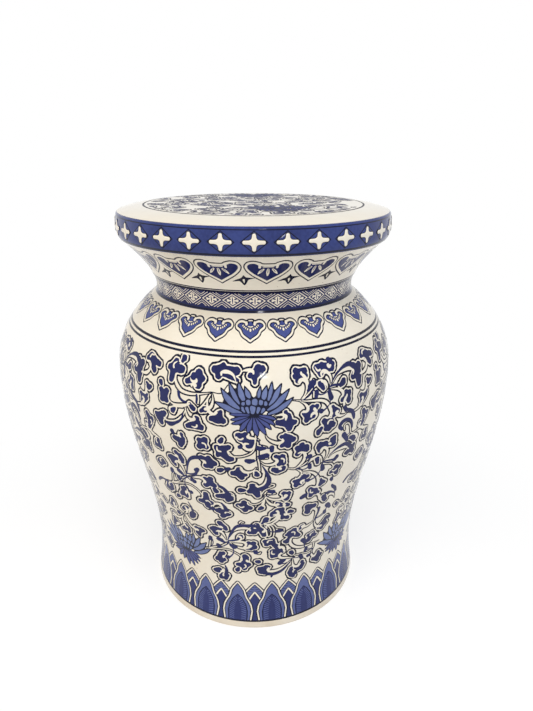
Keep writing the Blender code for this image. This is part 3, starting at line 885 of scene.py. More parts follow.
    [(9.1, 104, 3.4), (8.1, 108.2, 2.2), (10.3, 108.8, 2.2), (12.5, 108.2, 1.5), (8.4, 100.2, 2.3),
     (10.4, 100.8, 2.2), (13.3, 105.2, 1.2)],
    [(12.4, 88.2, 1.8), (12.8, 90.8, 1.2), (14.6, 91.4, 1)],
    [(17.9, 101.6, 2), (18.7, 98.8, 1.3)],
    [(4, 80.8, 3.6), (5.2, 84.8, 2.2), (6.5, 84.4, 1.2), (1.9, 82.4, 2.3), (2.6, 77.8, 2.4),
     (4.4, 76.8, 2.4)],
    [(1.2, 93.2, 2.2), (0.4, 93.6, 1.2)],
    [(18.2, 71, 2.4), (18.6, 76.6, 1.4), (18.8, 66.8, 2.3), (20, 64.6, 1.8)],
    [(21.2, 67.8, 1.4), (21, 70.2, 0.9)],
    [(23.9, 74.2, 2.6), (21.2, 75, 1.5), (25.1, 77.4, 2.4), (24.8, 81.6, 1.6), (22.4, 72, 1.5)],
    [(23.3, 92.4, 1.5), (24.2, 88.4, 1.6)],
    [(26.4, 100.8, 1.2), (26, 97.2, 1)],
    [(28.2, 119.2, 2.6), (29.1, 121.6, 2.3), (30.7, 116.8, 1.8), (26.4, 120.4, 1.4), (27.2, 112.2, 2.2)],
    [(25.3, 111.8, 1.8), (23.6, 115.6, 1.7), (27, 111.6, 1.6)],
    [(34, 127.6, 3.2), (35, 132.4, 2.5), (36, 137.2, 2), (32.3, 126.8, 1.9), (34.4, 123.6, 2),
     (36.6, 128.4, 1.7)],
    [(38, 136, 1.8), (36.6, 137.6, 1.2)],
    [(17.3, 131.6, 3.6), (18.2, 135.6, 2.4), (16.1, 133.2, 2), (19.8, 127, 2.4), (21, 125.2, 1.6),
     (16.4, 126.4, 1.9), (14.6, 130.2, 1)],
    [(15.2, 120, 2.5), (14.2, 120.4, 1.6), (16.2, 124.6, 1.5)],
    [(22, 138.2, 1.9), (21.3, 135.2, 1)],
    [(10.8, 138.6, 1.5), (9.4, 138, 1), (11.7, 138.4, 1.2)],
    [(-19.4, 138, 2.9), (-20.8, 137.4, 2.1), (-19.5, 133.4, 2.1), (-18.9, 131, 1.6), (-16.4, 139.4, 1.1)],
    [(-14.4, 143, 2.1), (-15.8, 145.6, 1.6), (-16.4, 148.8, 2.4), (-13.9, 140.6, 1.6)],
    [(-18, 123.4, 1.5), (-16.8, 122.6, 1.5), (-15.6, 120.2, 0.8)],
    [(-18.7, 113.4, 1.6), (-18.3, 110.8, 1.1)],
    [(-10.6, 114.4, 1.8), (-11.8, 116.4, 1.3), (-9.7, 114.8, 1.1)],
    [(-18, 96.6, 2.4), (-17.7, 101.4, 1.9), (-16.2, 103, 1.2), (-20, 91.8, 1.9), (-18, 89.4, 2.3),
     (-16.2, 92.4, 1.6)],
    [(-14, 97.6, 1.5), (-14.9, 97.4, 0.9)],
    [(-5.9, 87.6, 3.2), (-5.9, 95, 1.9), (-5.4, 101.4, 2.4), (-4.6, 99.4, 1.9), (-9.2, 88.4, 1.7),
     (-3.5, 89.2, 1.8), (-5.9, 82.8, 2.1)],
    [(-9.5, 79.8, 2), (-8.9, 82.8, 1)],
    [(-16.8, 68.2, 3.2), (-18.4, 65.8, 2.4), (-16.1, 65.4, 2.2), (-15.2, 69.4, 2.1)],
    [(-20.4, 74, 2.6), (-19.2, 76.4, 1.9), (-21.6, 73.6, 1.9)],
    [(-22.4, 122.8, 1.5), (-23, 119.6, 0.8)],
    [(-28.6, 128.4, 3), (-29.6, 130.8, 2.1), (-27.3, 130.6, 2), (-25.8, 130, 1.6), (-29.2, 123.6, 2.1),
     (-28.4, 120.6, 1.1)],
    [(-30.2, 150, 2.9), (-31, 146.8, 2.1), (-28.9, 153, 1.6), (-29.8, 153.4, 2)],
    [(-33.5, 157.4, 2.1), (-35, 154.4, 1.4), (-32.4, 159, 1.5)],
    [(-41.3, 155, 3), (-42.2, 152.6, 2.3), (-41.3, 159.8, 2.3), (-43.4, 151.2, 1.2)],
    [(-39.4, 143.2, 1.8), (-38.8, 145, 1)],
    [(-44, 124.2, 3), (-42.5, 125.6, 1.8), (-45, 121.2, 2), (-44.2, 130, 1.5)],
    [(-44.2, 136.8, 2.2), (-43, 138.6, 1.2)],
    [(-35.5, 124.2, 3), (-36.3, 128.2, 1.8), (-37.2, 121.8, 2.1), (-38.8, 120.2, 1.6), (-34.8, 120.2, 1.8)],
    [(24.2, 164.2, 3.6), (23, 167.4, 2.3), (26.6, 165, 2.4), (23.4, 159.4, 2.4), (24.2, 157, 1.5)],
    [(33.8, 149.4, 1.4), (34.2, 146.6, 1.1)],
    [(34.5, 158.2, 1.8), (35.6, 155.8, 1.7), (36.6, 152.6, 1)],
    [(41.5, 150.8, 2), (40.7, 152.8, 1.5)],
    [(34.1, 78.4, 3.5), (34.8, 86, 1.4), (35, 83.2, 2.2), (31.9, 79, 2.3), (36.8, 80, 1.8),
     (35, 73.8, 1.8)],
    [(28.2, 87.4, 1.5), (29, 87.8, 0.9)],
]

# solid brush strokes: degrees round, millimetres up and half the width, at each mark along them
BRUSHES = [
    [(28.2, 311.4, 0.5), (30.4, 317.3, 0.8), (32.9, 321.4, 1.2), (35.3, 323.6, 1.9), (37.7, 324, 2.3),
     (39.8, 320.6, 2.8)],
    [(27.4, 308.4, 0.9), (29.2, 309, 1.1), (31.2, 308.2, 1.3), (32.4, 307.6, 1.5)],
    [(35.2, 280, 1.4), (37, 277.6, 2), (38.5, 274.6, 2.3), (39.4, 270.4, 2.3), (39.8, 266.4, 1.6)],
    [(33.9, 258.6, 1.8), (32.7, 262.4, 2.3), (33.3, 265.8, 2.4), (34.8, 267.8, 2.3), (36.6, 267.4, 1.9),
     (38.2, 264.8, 1.5), (39.2, 260.4, 1.2), (39.5, 255.8, 0.9)],
    [(-27.8, 304.4, 1.7), (-27.5, 299.6, 1.4), (-26.2, 296.4, 1.2), (-24.4, 295.8, 0.6)],
    [(-26.1, 283.4, 0.6), (-27.2, 276.2, 1.1), (-29.8, 270.8, 1.6), (-32.2, 268, 2.6), (-34, 268.6, 1.4)],
    [(-20.6, 304.8, 0.9), (-20.5, 300.6, 1.2), (-20.7, 297, 0.9)],
    [(2.5, 232, 0.5), (3.7, 226.2, 1.1), (4.6, 220.3, 1.8), (5.2, 214.5, 2.3), (4.9, 208.9, 2.5),
     (3.7, 204.5, 2.5), (1.5, 201.6, 2.6)],
    [(-15, 204.4, 0.8), (-13, 201.2, 1.7), (-11.6, 196.2, 2.3), (-10.8, 191.6, 2.8)],
    [(29.6, 231.6, 0.5), (31.9, 235.6, 1.1), (34.1, 238, 1.6), (36.6, 238.4, 2.1), (38.7, 236, 2.3),
     (40.3, 232, 2.6)],
    [(27.3, 225.3, 0.8), (29.5, 224.7, 1), (31.3, 223.8, 1.1), (32.6, 223.6, 1.2)],
    [(34.4, 186.8, 1.2), (35.4, 183.6, 2), (36.9, 180, 2.1), (37.8, 175.2, 1.7)],
    [(31, 173.6, 2), (31.9, 176.8, 2), (33.5, 177.6, 1.7), (35.3, 176, 1.3), (37.2, 173, 1)],
    [(-47.7, 181.4, 1.6), (-46, 185.4, 1.9), (-43.8, 187.4, 1.3), (-40.8, 187, 1.7)],
    [(-28.3, 210.3, 0.6), (-27.7, 215.3, 0.8), (-27, 222.8, 1.1), (-25.8, 230, 1.5), (-24, 234.2, 2.1),
     (-21.8, 236, 2.3), (-19.6, 236.6, 2.3)],
    [(-27.8, 211, 0.8), (-26, 211.6, 1), (-24.1, 213.6, 1.3), (-23.3, 216.6, 1.5)],
    [(-14.4, 179.2, 1), (-13.1, 174.4, 1.8), (-12.4, 169.6, 2.4)],
    [(-13.4, 124, 0.5), (-12.7, 129.2, 0.8), (-11.5, 135, 1), (-10.2, 141.6, 1.4), (-8.7, 146.4, 1.8),
     (-6.5, 148.8, 2), (-3.4, 148.8, 2.2), (-0.9, 148.6, 2.6)],
    [(-13, 123.2, 0.8), (-10.5, 124.8, 1.2), (-8.7, 126.4, 1.3), (-7.8, 128.4, 1.2)],
    [(17.9, 86.6, 0.6), (15.8, 80.8, 1), (13.9, 76.8, 1.4), (11.7, 74.4, 1.9), (9.3, 73.3, 2.2),
     (7, 73.6, 2.2), (5.2, 75, 2)],
    [(8.6, 73, 1.4), (8, 69.4, 1.2)],
    [(-15.9, 83.4, 0.8), (-15.3, 78.2, 1.5), (-15.4, 73.2, 2.2), (-15.8, 70, 2.4)],
    [(-31, 168, 0.6), (-29.9, 162, 1), (-29.6, 156.4, 1.5)],
    [(29.9, 158.4, 1.8), (29.9, 152.4, 1.2), (29.3, 146.4, 0.9), (28.9, 141.6, 1.2)],
]

# white curls and stems: degrees round and millimetres up; their widths come from CURL and VINE
HOOKS = [
    [(-47.1, 311.4), (-45.3, 311.8), (-43.7, 313.4), (-42.6, 316.6), (-42.3, 320.6), (-43.1, 323.8),
     (-44.6, 324.2), (-45.8, 322.8)],
    [(-15.2, 308.4), (-18.2, 306.6), (-20.2, 305.6), (-23.3, 304.8), (-26.4, 306), (-28.3, 309.8),
     (-29.5, 315.2), (-29.5, 320)],
    [(-21, 318.8), (-21, 317.2), (-22, 316.2), (-23, 317.4), (-23.5, 320)],
    [(-22.2, 311), (-22.8, 312.4), (-22.1, 314), (-21.2, 313.2), (-21.5, 311.8)],
    [(-6.3, 317.5), (-6.9, 322), (-7.7, 325.6), (-9.2, 327.6), (-10.8, 327.9), (-11.9, 327), (-11.9, 325)],
    [(-5.2, 328), (-3.6, 329.6), (-1.8, 329.8), (-0.7, 328.8), (-0.5, 327)],
    [(15.9, 300.8), (17.6, 305.6), (18.5, 311.6), (18.3, 316.6), (17.2, 319.2), (16, 319.3), (15.4, 317.4)],
    [(16.4, 300.4), (19, 306.4), (20.2, 309.6), (22, 312.6), (22.2, 315.6), (21.2, 317.6)],
    [(27.1, 307.5), (28, 311), (28.3, 315), (27.9, 319.2), (26.7, 322.7), (25.3, 323.6), (24.4, 322),
     (24.5, 319.8)],
    [(28.6, 329.2), (27.7, 328.2), (28.1, 326.6), (29, 327.2)],
    [(26.4, 306.6), (26.3, 310.4), (25.6, 313.6), (24.2, 315)],
    [(20.9, 306.8), (20.8, 301.6)],
    [(28.4, 309.8), (29.8, 314.8), (31.4, 318.3), (34, 320), (36.8, 320.3), (38.7, 318.8), (39.3, 316.2),
     (38.8, 313.8)],
    [(27, 306), (29.8, 305.2), (31.6, 303.6), (33, 300.2), (33.2, 296.6), (32.2, 294.8)],
    [(13.2, 301.4), (16, 300), (18, 298.8), (21.1, 298), (23.6, 297), (25.7, 294.2), (27.3, 288.3),
     (28.1, 282.5), (27.6, 278.3), (26.7, 276.7), (25.8, 278)],
    [(15.6, 299.6), (17.6, 296), (18.6, 291.8), (18.2, 288.6), (16.8, 288.2)],
    [(19.9, 282), (20.2, 284.4), (21.3, 285.6), (22.1, 283.4), (21.7, 280.4), (20.2, 277.8)],
    [(21, 290.4), (21.4, 288.5), (22.4, 287.8)],
    [(-23.4, 294.8), (-25.2, 292.3), (-27.3, 291), (-29.5, 290.6), (-31, 291.8), (-32, 294.4),
     (-32.2, 298.2)],
    [(-26.2, 289.8), (-28.4, 289), (-30.4, 288), (-32, 286.2), (-32.2, 283)],
    [(-24.6, 291.6), (-25.6, 284), (-27.3, 278.2), (-29, 273.8), (-31, 271.2), (-33.4, 270.6),
     (-34.9, 272.6)],
    [(-25.2, 291.2), (-24.8, 284.2), (-24.2, 280.2), (-22.8, 278.6), (-21.6, 279.4), (-21.8, 281.8)],
    [(-15.5, 306.6), (-17.3, 299), (-18.9, 293.6), (-20, 291)],
    [(-15.9, 305.4), (-16.6, 299), (-16.4, 292.2), (-15.3, 288.4), (-14, 288), (-13.2, 289.8)],
    [(-20, 305), (-19.8, 300.8), (-20, 296.6)],
    [(10.6, 282.6), (10.6, 286), (9.4, 288.2), (7.8, 287.8), (6.4, 287)],
    [(35.4, 256.6), (34.9, 260.8), (35.7, 263.3), (37, 262.9), (38.1, 259.4), (38.5, 255)],
    [(42.4, 295.2), (43, 292.6), (44.2, 291.2), (45.6, 291.8), (46.2, 295), (46, 299.6)],
    [(1.6, 262), (0.4, 263.8), (-1.4, 264.6), (-2.6, 266), (-2.2, 268.4)],
    [(3.6, 269.4), (4, 265), (5.6, 260.6), (8, 257.8), (9.8, 259.4), (9.6, 262)],
    [(0.2, 268), (0, 262), (-0.3, 253.8), (-0.9, 249.5), (-2.2, 246.2), (-4.7, 243.4), (-7.1, 242.6),
     (-9, 243.5), (-9.8, 246.2), (-9.9, 248.7), (-8.6, 250.2)],
    [(-20.6, 234.2), (-19.4, 232.7), (-18.9, 230.4)],
    [(0.3, 230.3), (-0.6, 226.4), (-2.2, 224), (-3.8, 224.2), (-4.9, 226.2), (-5.5, 228.4)],
    [(0.9, 256.2), (2.3, 255.4), (3.8, 254)],
    [(1.8, 237.8), (3.1, 234), (4.9, 232.6), (6.8, 233.4), (7.9, 236.2), (7.7, 238.8), (6.7, 239.9)],
    [(8.3, 229.2), (9, 228), (9.5, 226.2)],
    [(11.3, 228), (13, 225.6), (15.2, 224.7), (17, 228.5), (18.2, 232.8), (18.7, 237.8), (18.2, 242),
     (17, 243.8), (15.9, 243.2)],
    [(15.4, 224.5), (16.6, 222.6), (17.6, 220), (17.9, 216.2), (17.5, 212.2), (16.6, 211), (15.6, 212)],
    [(18.6, 202.8), (18.3, 205.2), (19.2, 206.8), (20.1, 205.2), (19.8, 202)],
    [(15.8, 224.2), (19.6, 229), (21.4, 232), (23.6, 234.6)],
    [(4.2, 190.8), (5.9, 186.9), (7.7, 185), (9.6, 185.6), (10.7, 187.8), (10.7, 191), (9.8, 192.6)],
    [(12.2, 179.6), (11.9, 177.8), (12.4, 175.9)],
    [(4.9, 195.6), (6.6, 194.2), (7.9, 194.4)],
    [(4, 225.3), (4.2, 219), (4.2, 214.2), (3.6, 209), (2.4, 205.8), (1, 205), (0.2, 206.8)],
    [(5.9, 208), (7.3, 206.8), (7.2, 204.5), (5.9, 202.9), (4.4, 201.2), (3.2, 198.6), (2.6, 195.6)],
    [(3.9, 192.6), (3.9, 188.8), (2.8, 184.7), (1.2, 181.6), (-0.6, 180.4), (-2.1, 181.6), (-2.8, 184.6)],
    [(4, 189.2), (3.3, 183), (2.9, 179.6), (3.7, 177)],
    [(0.8, 241), (1.3, 236.5), (1.5, 230.5), (1.6, 226)],
    [(0.9, 260), (0.9, 250), (0.9, 243), (1.2, 236.6)],
    [(-21.5, 208.6), (-20.4, 207), (-20.3, 204.2)],
    [(-14.6, 200.2), (-13.4, 198.4), (-12.8, 195.4)],
    [(-2.5, 258.2), (-3.5, 258.3), (-4.1, 256.2), (-3.7, 253.2), (-2.4, 251.7), (-1, 253.3), (-0.5, 257)],
    [(2.2, 241), (4.4, 241.2)],
    [(26.9, 226), (28, 231), (28.3, 236.6), (27.7, 241), (26.4, 243.1), (25.3, 242), (25.1, 239.4)],
    [(29.2, 247.6), (28.6, 246.4), (29.3, 245.2)],
    [(26.2, 225.6), (26, 229.6), (25.4, 232.8)],
    [(29.2, 228.6), (30.6, 232), (32.6, 234), (34.8, 234.4), (37.2, 234.2), (39.1, 232), (39.6, 229.2)],
    [(38.4, 246.2), (40.4, 246.6), (43, 243.6), (43.8, 239), (42.8, 236)],
    [(38.6, 254.6), (39.2, 249.8), (40.6, 248.2), (43.6, 249.6), (46.6, 249.2), (48.6, 246.4)],
    [(27, 223), (28.4, 221.4), (30.4, 220.2), (32, 217), (32.7, 213), (32, 210.8), (31, 210.8)],
    [(15.6, 224), (17.6, 219), (19.4, 217.6), (21.8, 215.9), (23.9, 212.2), (25.4, 207), (26.2, 201.2),
     (26.1, 195.6), (25.3, 192.8), (24.2, 194)],
    [(33, 171.6), (34.6, 173.4), (36.4, 172), (37.7, 168), (38.3, 164)],
    [(27, 182), (28.4, 177.6), (28.8, 173.4), (30, 169.6), (31.4, 165.6)],
    [(-28.8, 263), (-28.9, 258), (-28.2, 255.8)],
    [(-31, 229.4), (-31.8, 231), (-32.6, 229.6)],
    [(-28.7, 207.6), (-29.1, 214), (-29.8, 219.4), (-31, 223), (-32.3, 223), (-33, 221)],
    [(-34, 203.4), (-34.2, 200), (-33.3, 197.2)],
    [(-35.4, 206), (-36.2, 201), (-36.6, 196), (-37, 191.6)],
    [(-28.2, 206.6), (-26.6, 208), (-24.6, 208.8), (-22.4, 210), (-20.9, 208.6), (-20.5, 205)],
    [(-28.6, 206.4), (-30.4, 203.4), (-32, 197.8), (-34.6, 193.2), (-37.8, 190)],
    [(-37.8, 189.4), (-34.8, 191.4), (-32.3, 193.8), (-29.8, 196), (-27.3, 196), (-24.8, 192.8),
     (-23, 187.8), (-22.6, 183), (-23.4, 180.6), (-24.4, 181.2)],
    [(-30.8, 180.2), (-30.9, 182.6), (-30, 183.6), (-29.3, 181.8), (-29.5, 177.2), (-30.6, 173.8)],
    [(-44.4, 250.6), (-42.8, 247), (-41, 246.4), (-38.6, 245)],
    [(-18.4, 168.6), (-18.2, 173), (-17, 177), (-15.4, 177.4), (-14.4, 174.4), (-14.3, 171)],
    [(12.6, 163.4), (13.3, 161.6), (14.6, 162)],
    [(2.6, 151), (6.5, 150.2), (8.4, 152.6), (9.9, 156.7), (10.1, 160.8), (9, 163.8), (7.8, 163.6)],
    [(-7.3, 152.2), (-6.6, 154.6), (-5.4, 153.4)],
    [(-12.8, 128.6), (-11, 137.4), (-9, 142.2), (-6.5, 144.4), (-4.2, 144.6), (-2.7, 143.4), (-2.6, 141)],
    [(5, 148.4), (4.9, 140.4), (5.2, 134), (6, 131.2), (6.9, 133), (7.1, 138), (6.7, 143), (5.6, 148)],
    [(4, 150.4), (7, 147.6), (8.3, 142), (8.5, 135.4), (8, 129.6), (6.8, 128.2), (5.2, 128), (4.4, 129.4)],
    [(4.6, 150.4), (8, 149), (9.6, 144.4), (11.4, 142.8), (13, 141.2), (13.2, 137.8)],
    [(-13.2, 120.4), (-10.2, 122.4), (-8.1, 123.2), (-6, 123.2), (-4.8, 121), (-4.8, 117.6), (-5.6, 115.6)],
    [(0.8, 106), (1.8, 105.4), (2.2, 107.4)],
    [(11.7, 122), (11.4, 117), (11.3, 113.4), (12.8, 112.6), (13.9, 109.4), (13.9, 105.6)],
    [(12.6, 103.4), (11.7, 100.8), (12.1, 97), (13.6, 95.2), (16.1, 94.2), (18.2, 92.9), (20, 92)],
    [(6.4, 83), (5.9, 80), (6.8, 77.8), (9, 77.2), (12, 78.4), (14.5, 81.7), (17, 86.6), (18.9, 90.8)],
    [(19, 91.6), (19.2, 86.4), (19.5, 80.8), (20.8, 77.6), (22.6, 77), (23.8, 79.4)],
    [(19.6, 71.6), (19.9, 69.6)],
    [(25.7, 117), (25.2, 114.6), (26.2, 112.6)],
    [(18.2, 124.4), (17.1, 123), (16.9, 119), (17.3, 114.4), (18.9, 109.8), (21, 106.8), (24.4, 104.8),
     (29, 104.6), (34.2, 104.4)],
    [(31, 95), (30.2, 90.8), (30.4, 86.6), (31.4, 83.2), (32.6, 82.6), (33.6, 85)],
    [(30.8, 104), (31, 98.4), (29.8, 95), (27.4, 93), (24, 94.6), (20, 94.8)],
    [(-14.1, 124), (-14.7, 129.2), (-15.8, 134), (-17.4, 136), (-18.6, 134.8)],
    [(-17.6, 142.6), (-16.2, 143.2), (-15.4, 141.8)],
    [(-16.6, 95.4), (-16.3, 97.8), (-15.4, 99.4)],
    [(-25.4, 104), (-19.6, 107.4), (-15.8, 109), (-12.7, 108.8), (-9.6, 105), (-7.4, 100.8), (-6.9, 96.7),
     (-7.4, 93.6), (-8.6, 93)],
    [(-25, 104.2), (-20.6, 109.4), (-17, 113.4), (-14.2, 118.6)],
    [(-4.6, 95.6), (-4.2, 93.4), (-3.2, 93)],
    [(-17, 80), (-16.8, 77), (-17.3, 74.4), (-18.4, 73.8)],
    [(-22.3, 121), (-22.8, 116.6), (-23.3, 111), (-24, 105.4)],
    [(25.4, 158.8), (26.1, 160.6), (27.5, 159.8), (28.6, 155.8), (28.6, 150), (28, 142)],
    [(-41.6, 125.6), (-42.6, 122.6), (-43.6, 121)],
    [(-30.4, 161), (-30.6, 157.6), (-31.6, 154.6)],
]

SCROLL_LOW, SCROLL_HIGH, SCROLL_REPEATS = 60, 338, 4
# where the stems fork; curls run from here to the leaves near them, and fine stalks to the buds
FORKS = [
    (16.2, 300.2), (27.6, 306.6), (-14.8, 308), (-24.6, 292.4), (0.6, 264), (0.9, 241), (1, 229),
    (3.9, 191.6), (15.4, 224.6), (26.8, 225), (-28.4, 207.2), (-37.6, 190), (3.2, 150.8), (-13.2, 122),
    (-24.8, 104.6), (19.2, 92.4), (30.8, 96), (38.6, 250.6), (28.6, 143.6), (-18.2, 169.4), (-43.6, 247.6),
    (-22.6, 262.8), (36, 276), (-35.6, 146),
]
FORK_START, FORK_REACH, FORK_BOW = 2.5, 25.0, 0.24
# along the way from a fork: how far, and how much of the bow
FORK_PATH = ((0, 0), (0.3, 0.75), (0.65, 1.0), (0.9, 0.55), (1.0, 0.1))
# half the width of a stalk and, as a share of the bud's, of its end
STALK, STALK_END = (0.4, 0.45, 0.6, 0.9), 0.8
LEAF_MARGIN, LEAF_LINE, LEAF_SWELL, LEAF_BLEND = 1.2, 1.75, 0.9, 0.45
CRINKLE, CRINKLE_SIZE = 0.24, 1.15
SMALLEST_LEAF, LARGE_LEAF, BUD_SWELL = 1.85, 2.4, 1.0
# along a curl from stem to tip: how far, half the width of the white, and of the ink beyond it
CURL = np.array([(0, 0.1, 0.8), (0.2, 0.5, 1.2), (0.45, 1.2, 1.5), (0.75, 1.7, 1.65), (0.9, 1.1, 1.65),
                 (1, 0.85, 1.65)])
CURL_HOOK, CURL_REACH = ((1.6, 1.2), (2.4, 0.2)), 3.2
VINE, VINE_LINE = 0.6, 1.4


def near(sheet, field, marks):
    """The field at each mark."""
    turns = sheet.short(np.array([m[0] for m in marks]))
    return sheet.sample(field, turns * sheet.middle, np.array([m[1] for m in marks], float))


def comma(sheet, white, ink, marks):
    """A white comma between two lines of ink, from its stem to its tip."""
    marks = curve([(*m[:2], 0) for m in marks])
    lengths = [math.hypot((b[0] - a[0]) * sheet.middle, b[1] - a[1]) for a, b in zip(marks, marks[1:])]
    along = np.cumsum([0] + lengths)
    pale, line = (np.interp(along / along[-1], CURL[:, 0], CURL[:, column]) for column in (1, 2))
    sheet.stroke(white, [(m[0], m[1], w) for m, w in zip(marks, pale)], smooth=False)
    sheet.stroke(ink, [(m[0], m[1], w) for m, w in zip(marks, pale + line)], smooth=False)


def has_curl(sheet, curl_marks, turn, level, reach):
    """Whether a curl already ends within reach of this leaf."""
    across = sheet.degree_at(level)
    return any(math.hypot(sheet.short(turn - tip[0]) * across, level - tip[1]) < reach
               for marks in curl_marks if len(marks) > 2 for tip in (marks[0], marks[-1]))


def from_fork(sheet, forks, turn, level):
    """How far the nearest fork is, its degrees to the side, and a bowed path from it to this leaf."""
    across = sheet.degree_at(level)
    runs = [(sheet.short(turn - x), level - y, x, y) for x, y in forks]
    reach, run, rise, x, y = min((math.hypot(r[0] * across, r[1]), *r) for r in runs)
    side = FORK_BOW if run > 0 else -FORK_BOW
    path = [(x + run * t + rise * side * bow / across, y + rise * t - run * side * bow * across)
            for t, bow in FORK_PATH]
    return reach, run, path


def lobe_arc(sheet, lobes, turn, level, size):
    """A white arc in a leaf, where its lobes stand furthest apart."""
    across = sheet.degree_at(level)
    angles = sorted(math.atan2(b - level, (a - turn) * across) for a, b, _ in lobes)
    gap, start = max((b - a, a) for a, b in zip(angles, angles[1:] + [angles[0] + math.tau]))
    bends = ((-1.1, size + 1.8, 0.45), (-0.4, size * 0.95, 0.8), (0.4, size * 0.5, 0.9), (1.5, 1.0, 0.95))
    aim = start + gap / 2
    arc = [(math.cos(aim + bend) * r, math.sin(aim + bend) * r, w) for bend, r, w in bends]
    return sheet.placed(arc, turn, level)


def foliage(sheet, leaf_marks, brush_marks, curl_marks, forks):
    """The fields of a scroll's leaves, buds, white margins, dark outlines and white curls.

    Leaves have a white margin; buds and brush strokes have none."""
    leaves, buds, white, ink = sheet.blank(), sheet.blank(), sheet.blank(), sheet.blank()
    for marks in leaf_marks:
        sheet.leaf(leaves if marks[0][2] >= SMALLEST_LEAF else buds, marks, LEAF_BLEND)
    x, y = np.meshgrid(sheet.turn * sheet.middle, sheet.height)
    crinkle = np.sin(x * CRINKLE_SIZE + np.sin(y / 2)) * np.sin(y * CRINKLE_SIZE + np.sin(x / 2))
    leaves += CRINKLE * crinkle - LEAF_SWELL
    buds -= BUD_SWELL
    for marks in brush_marks:
        sheet.stroke(buds, marks)
    for marks in curl_marks:
        first, last = near(sheet, leaves, (marks[0], marks[-1]))
        if len(marks) < 3 or min(first, last) > LEAF_MARGIN:
            sheet.stroke(white, marks, VINE)
            sheet.stroke(ink, marks, VINE + VINE_LINE)
        else:
            comma(sheet, white, ink, marks[::-1] if first < last else marks)
    for (turn, level, size), *lobes in leaf_marks:
        reach, run, path = from_fork(sheet, forks, turn, level)
        within = size + FORK_START < reach < FORK_REACH
        way_open = within and near(sheet, leaves, path[1:3]).min() > LEAF_MARGIN
        if size < SMALLEST_LEAF:
            if way_open:
                widths = (*STALK, size * STALK_END)
                sheet.stroke(buds, [(*mark, width) for mark, width in zip(path, widths)])
        elif has_curl(sheet, curl_marks, turn, level, size + CURL_REACH):
            continue
        elif way_open:
            x, y = path[-1]
            hook = [(x - run / reach * back, y + up) for back, up in CURL_HOOK]
            comma(sheet, white, ink, path + hook)
        elif size > LARGE_LEAF and len(lobes) > 2:
            sheet.stroke(white, lobe_arc(sheet, lobes, turn, level, size))
    margin, edge = merged(leaves - LEAF_MARGIN, white), merged(leaves - LEAF_MARGIN - LEAF_LINE, ink)
    return leaves, buds, margin, edge, white


scroll = Sheet(body_radius, SCROLL_LOW, SCROLL_HIGH, SCROLL_REPEATS)
leaves, buds, margin, edge, curls = foliage(scroll, LEAVES, BRUSHES, HOOKS, FORKS)
INK = cobalt_glaze("ink_glaze", srgb(18, 22, 52), srgb(9, 12, 34))
LEAF_COBALT = cobalt_glaze("leaf_glaze", srgb(38, 45, 100), srgb(24, 29, 74))

# Lotus flowers in the scroll.
# Each is a fan of pale blue petals over darker ones, round a pod of seeds, all edged in dark cobalt.
# One stands under the shoulder and one low down between two sprays of leaves.
UPPER_LOTUS, LOWER_LOTUS = (-0.5, 288.5), (-40.0, 88.0)
PETAL_GAP, PETAL_POINT = 1.3, 2.4
PALE_LINE, LOW_LINE, LOW_SWELL, LOW_CLEAR = 1.2, 0.9, 0.3, 0.6
# the ground between the petals: where it dips over the pod, and its foot
GROUND_DIP, GROUND_FOOT = (0.4, 17.5), [(6, 2), (-6, 2)]
# millimetres across and up from the heart, then half the width, from base to tip
PALE_PETALS = [
    [(-11, 2, 0.9), (-19, 4.6, 2.4), (-27, 8.2, 2.3), (-34.5, 11.2, 0.2)],
    [(-12.5, 6.6, 0.9), (-18.4, 10.4, 2.5), (-24.2, 16.8, 2.5), (-28.8, 23.6, 0.2)],
    [(-13, 11.6, 0.7), (-16.4, 17, 1.9), (-19.2, 22.8, 1.8), (-21.6, 29, 0.2)],
    [(-9.4, 16, 1.8), (-11, 20, 2.5), (-12.4, 25, 1.7), (-13.2, 30, 0.2)],
    [(-3.9, 18.2, 1.4), (-5.4, 20.8, 2.1), (-7.4, 26, 0.2)],
    [(4.7, 18.2, 1), (5.2, 21.4, 1.5), (6, 26, 0.2)],
    [(9.2, 17, 1.8), (10, 20.4, 2.5), (11.6, 26.6, 0.3)],
    [(13.6, 15.2, 0.9), (14.8, 19.6, 1.6), (15.9, 24, 1.5), (16.6, 29.5, 0.2)],
    [(14.6, 10.4, 0.8), (18.4, 14.8, 2), (21.4, 21, 2.1), (24.8, 27.5, 0.2)],
    [(13.2, 5.4, 0.8), (19.6, 9.4, 2.1), (26.2, 15.8, 2.4), (31.8, 22.5, 0.2)],
    [(14, 1.2, 0.8), (21.5, 4.2, 1.9), (29, 9.2, 2.1), (35.5, 14.5, 0.2)],
]
SEEDS = [
    [(-4.8, 12.5, 2.2), (-4.8, 13.4, 2.2)],
    [(1.1, 12.6, 2.7), (1.1, 13.8, 2.7)],
    [(6.8, 12.4, 2.2), (6.8, 13.2, 2.2)],
    [(11, 11.2, 1.7), (10.8, 12.2, 1.7)],
    [(-9.6, 11.4, 1.6), (-9.2, 12, 1.6)],
    [(-0.8, 6.8, 3), (-0.8, 3.4, 1.8)],
    [(-6, 6.8, 1.9), (-4.7, 3, 1)],
    [(4.5, 6.6, 1.9), (3.6, 3, 1)],
    [(-10.4, 7, 1.7), (-8.4, 3.8, 0.9)],
    [(9, 5.8, 1.6), (7.4, 3, 0.8)],
]
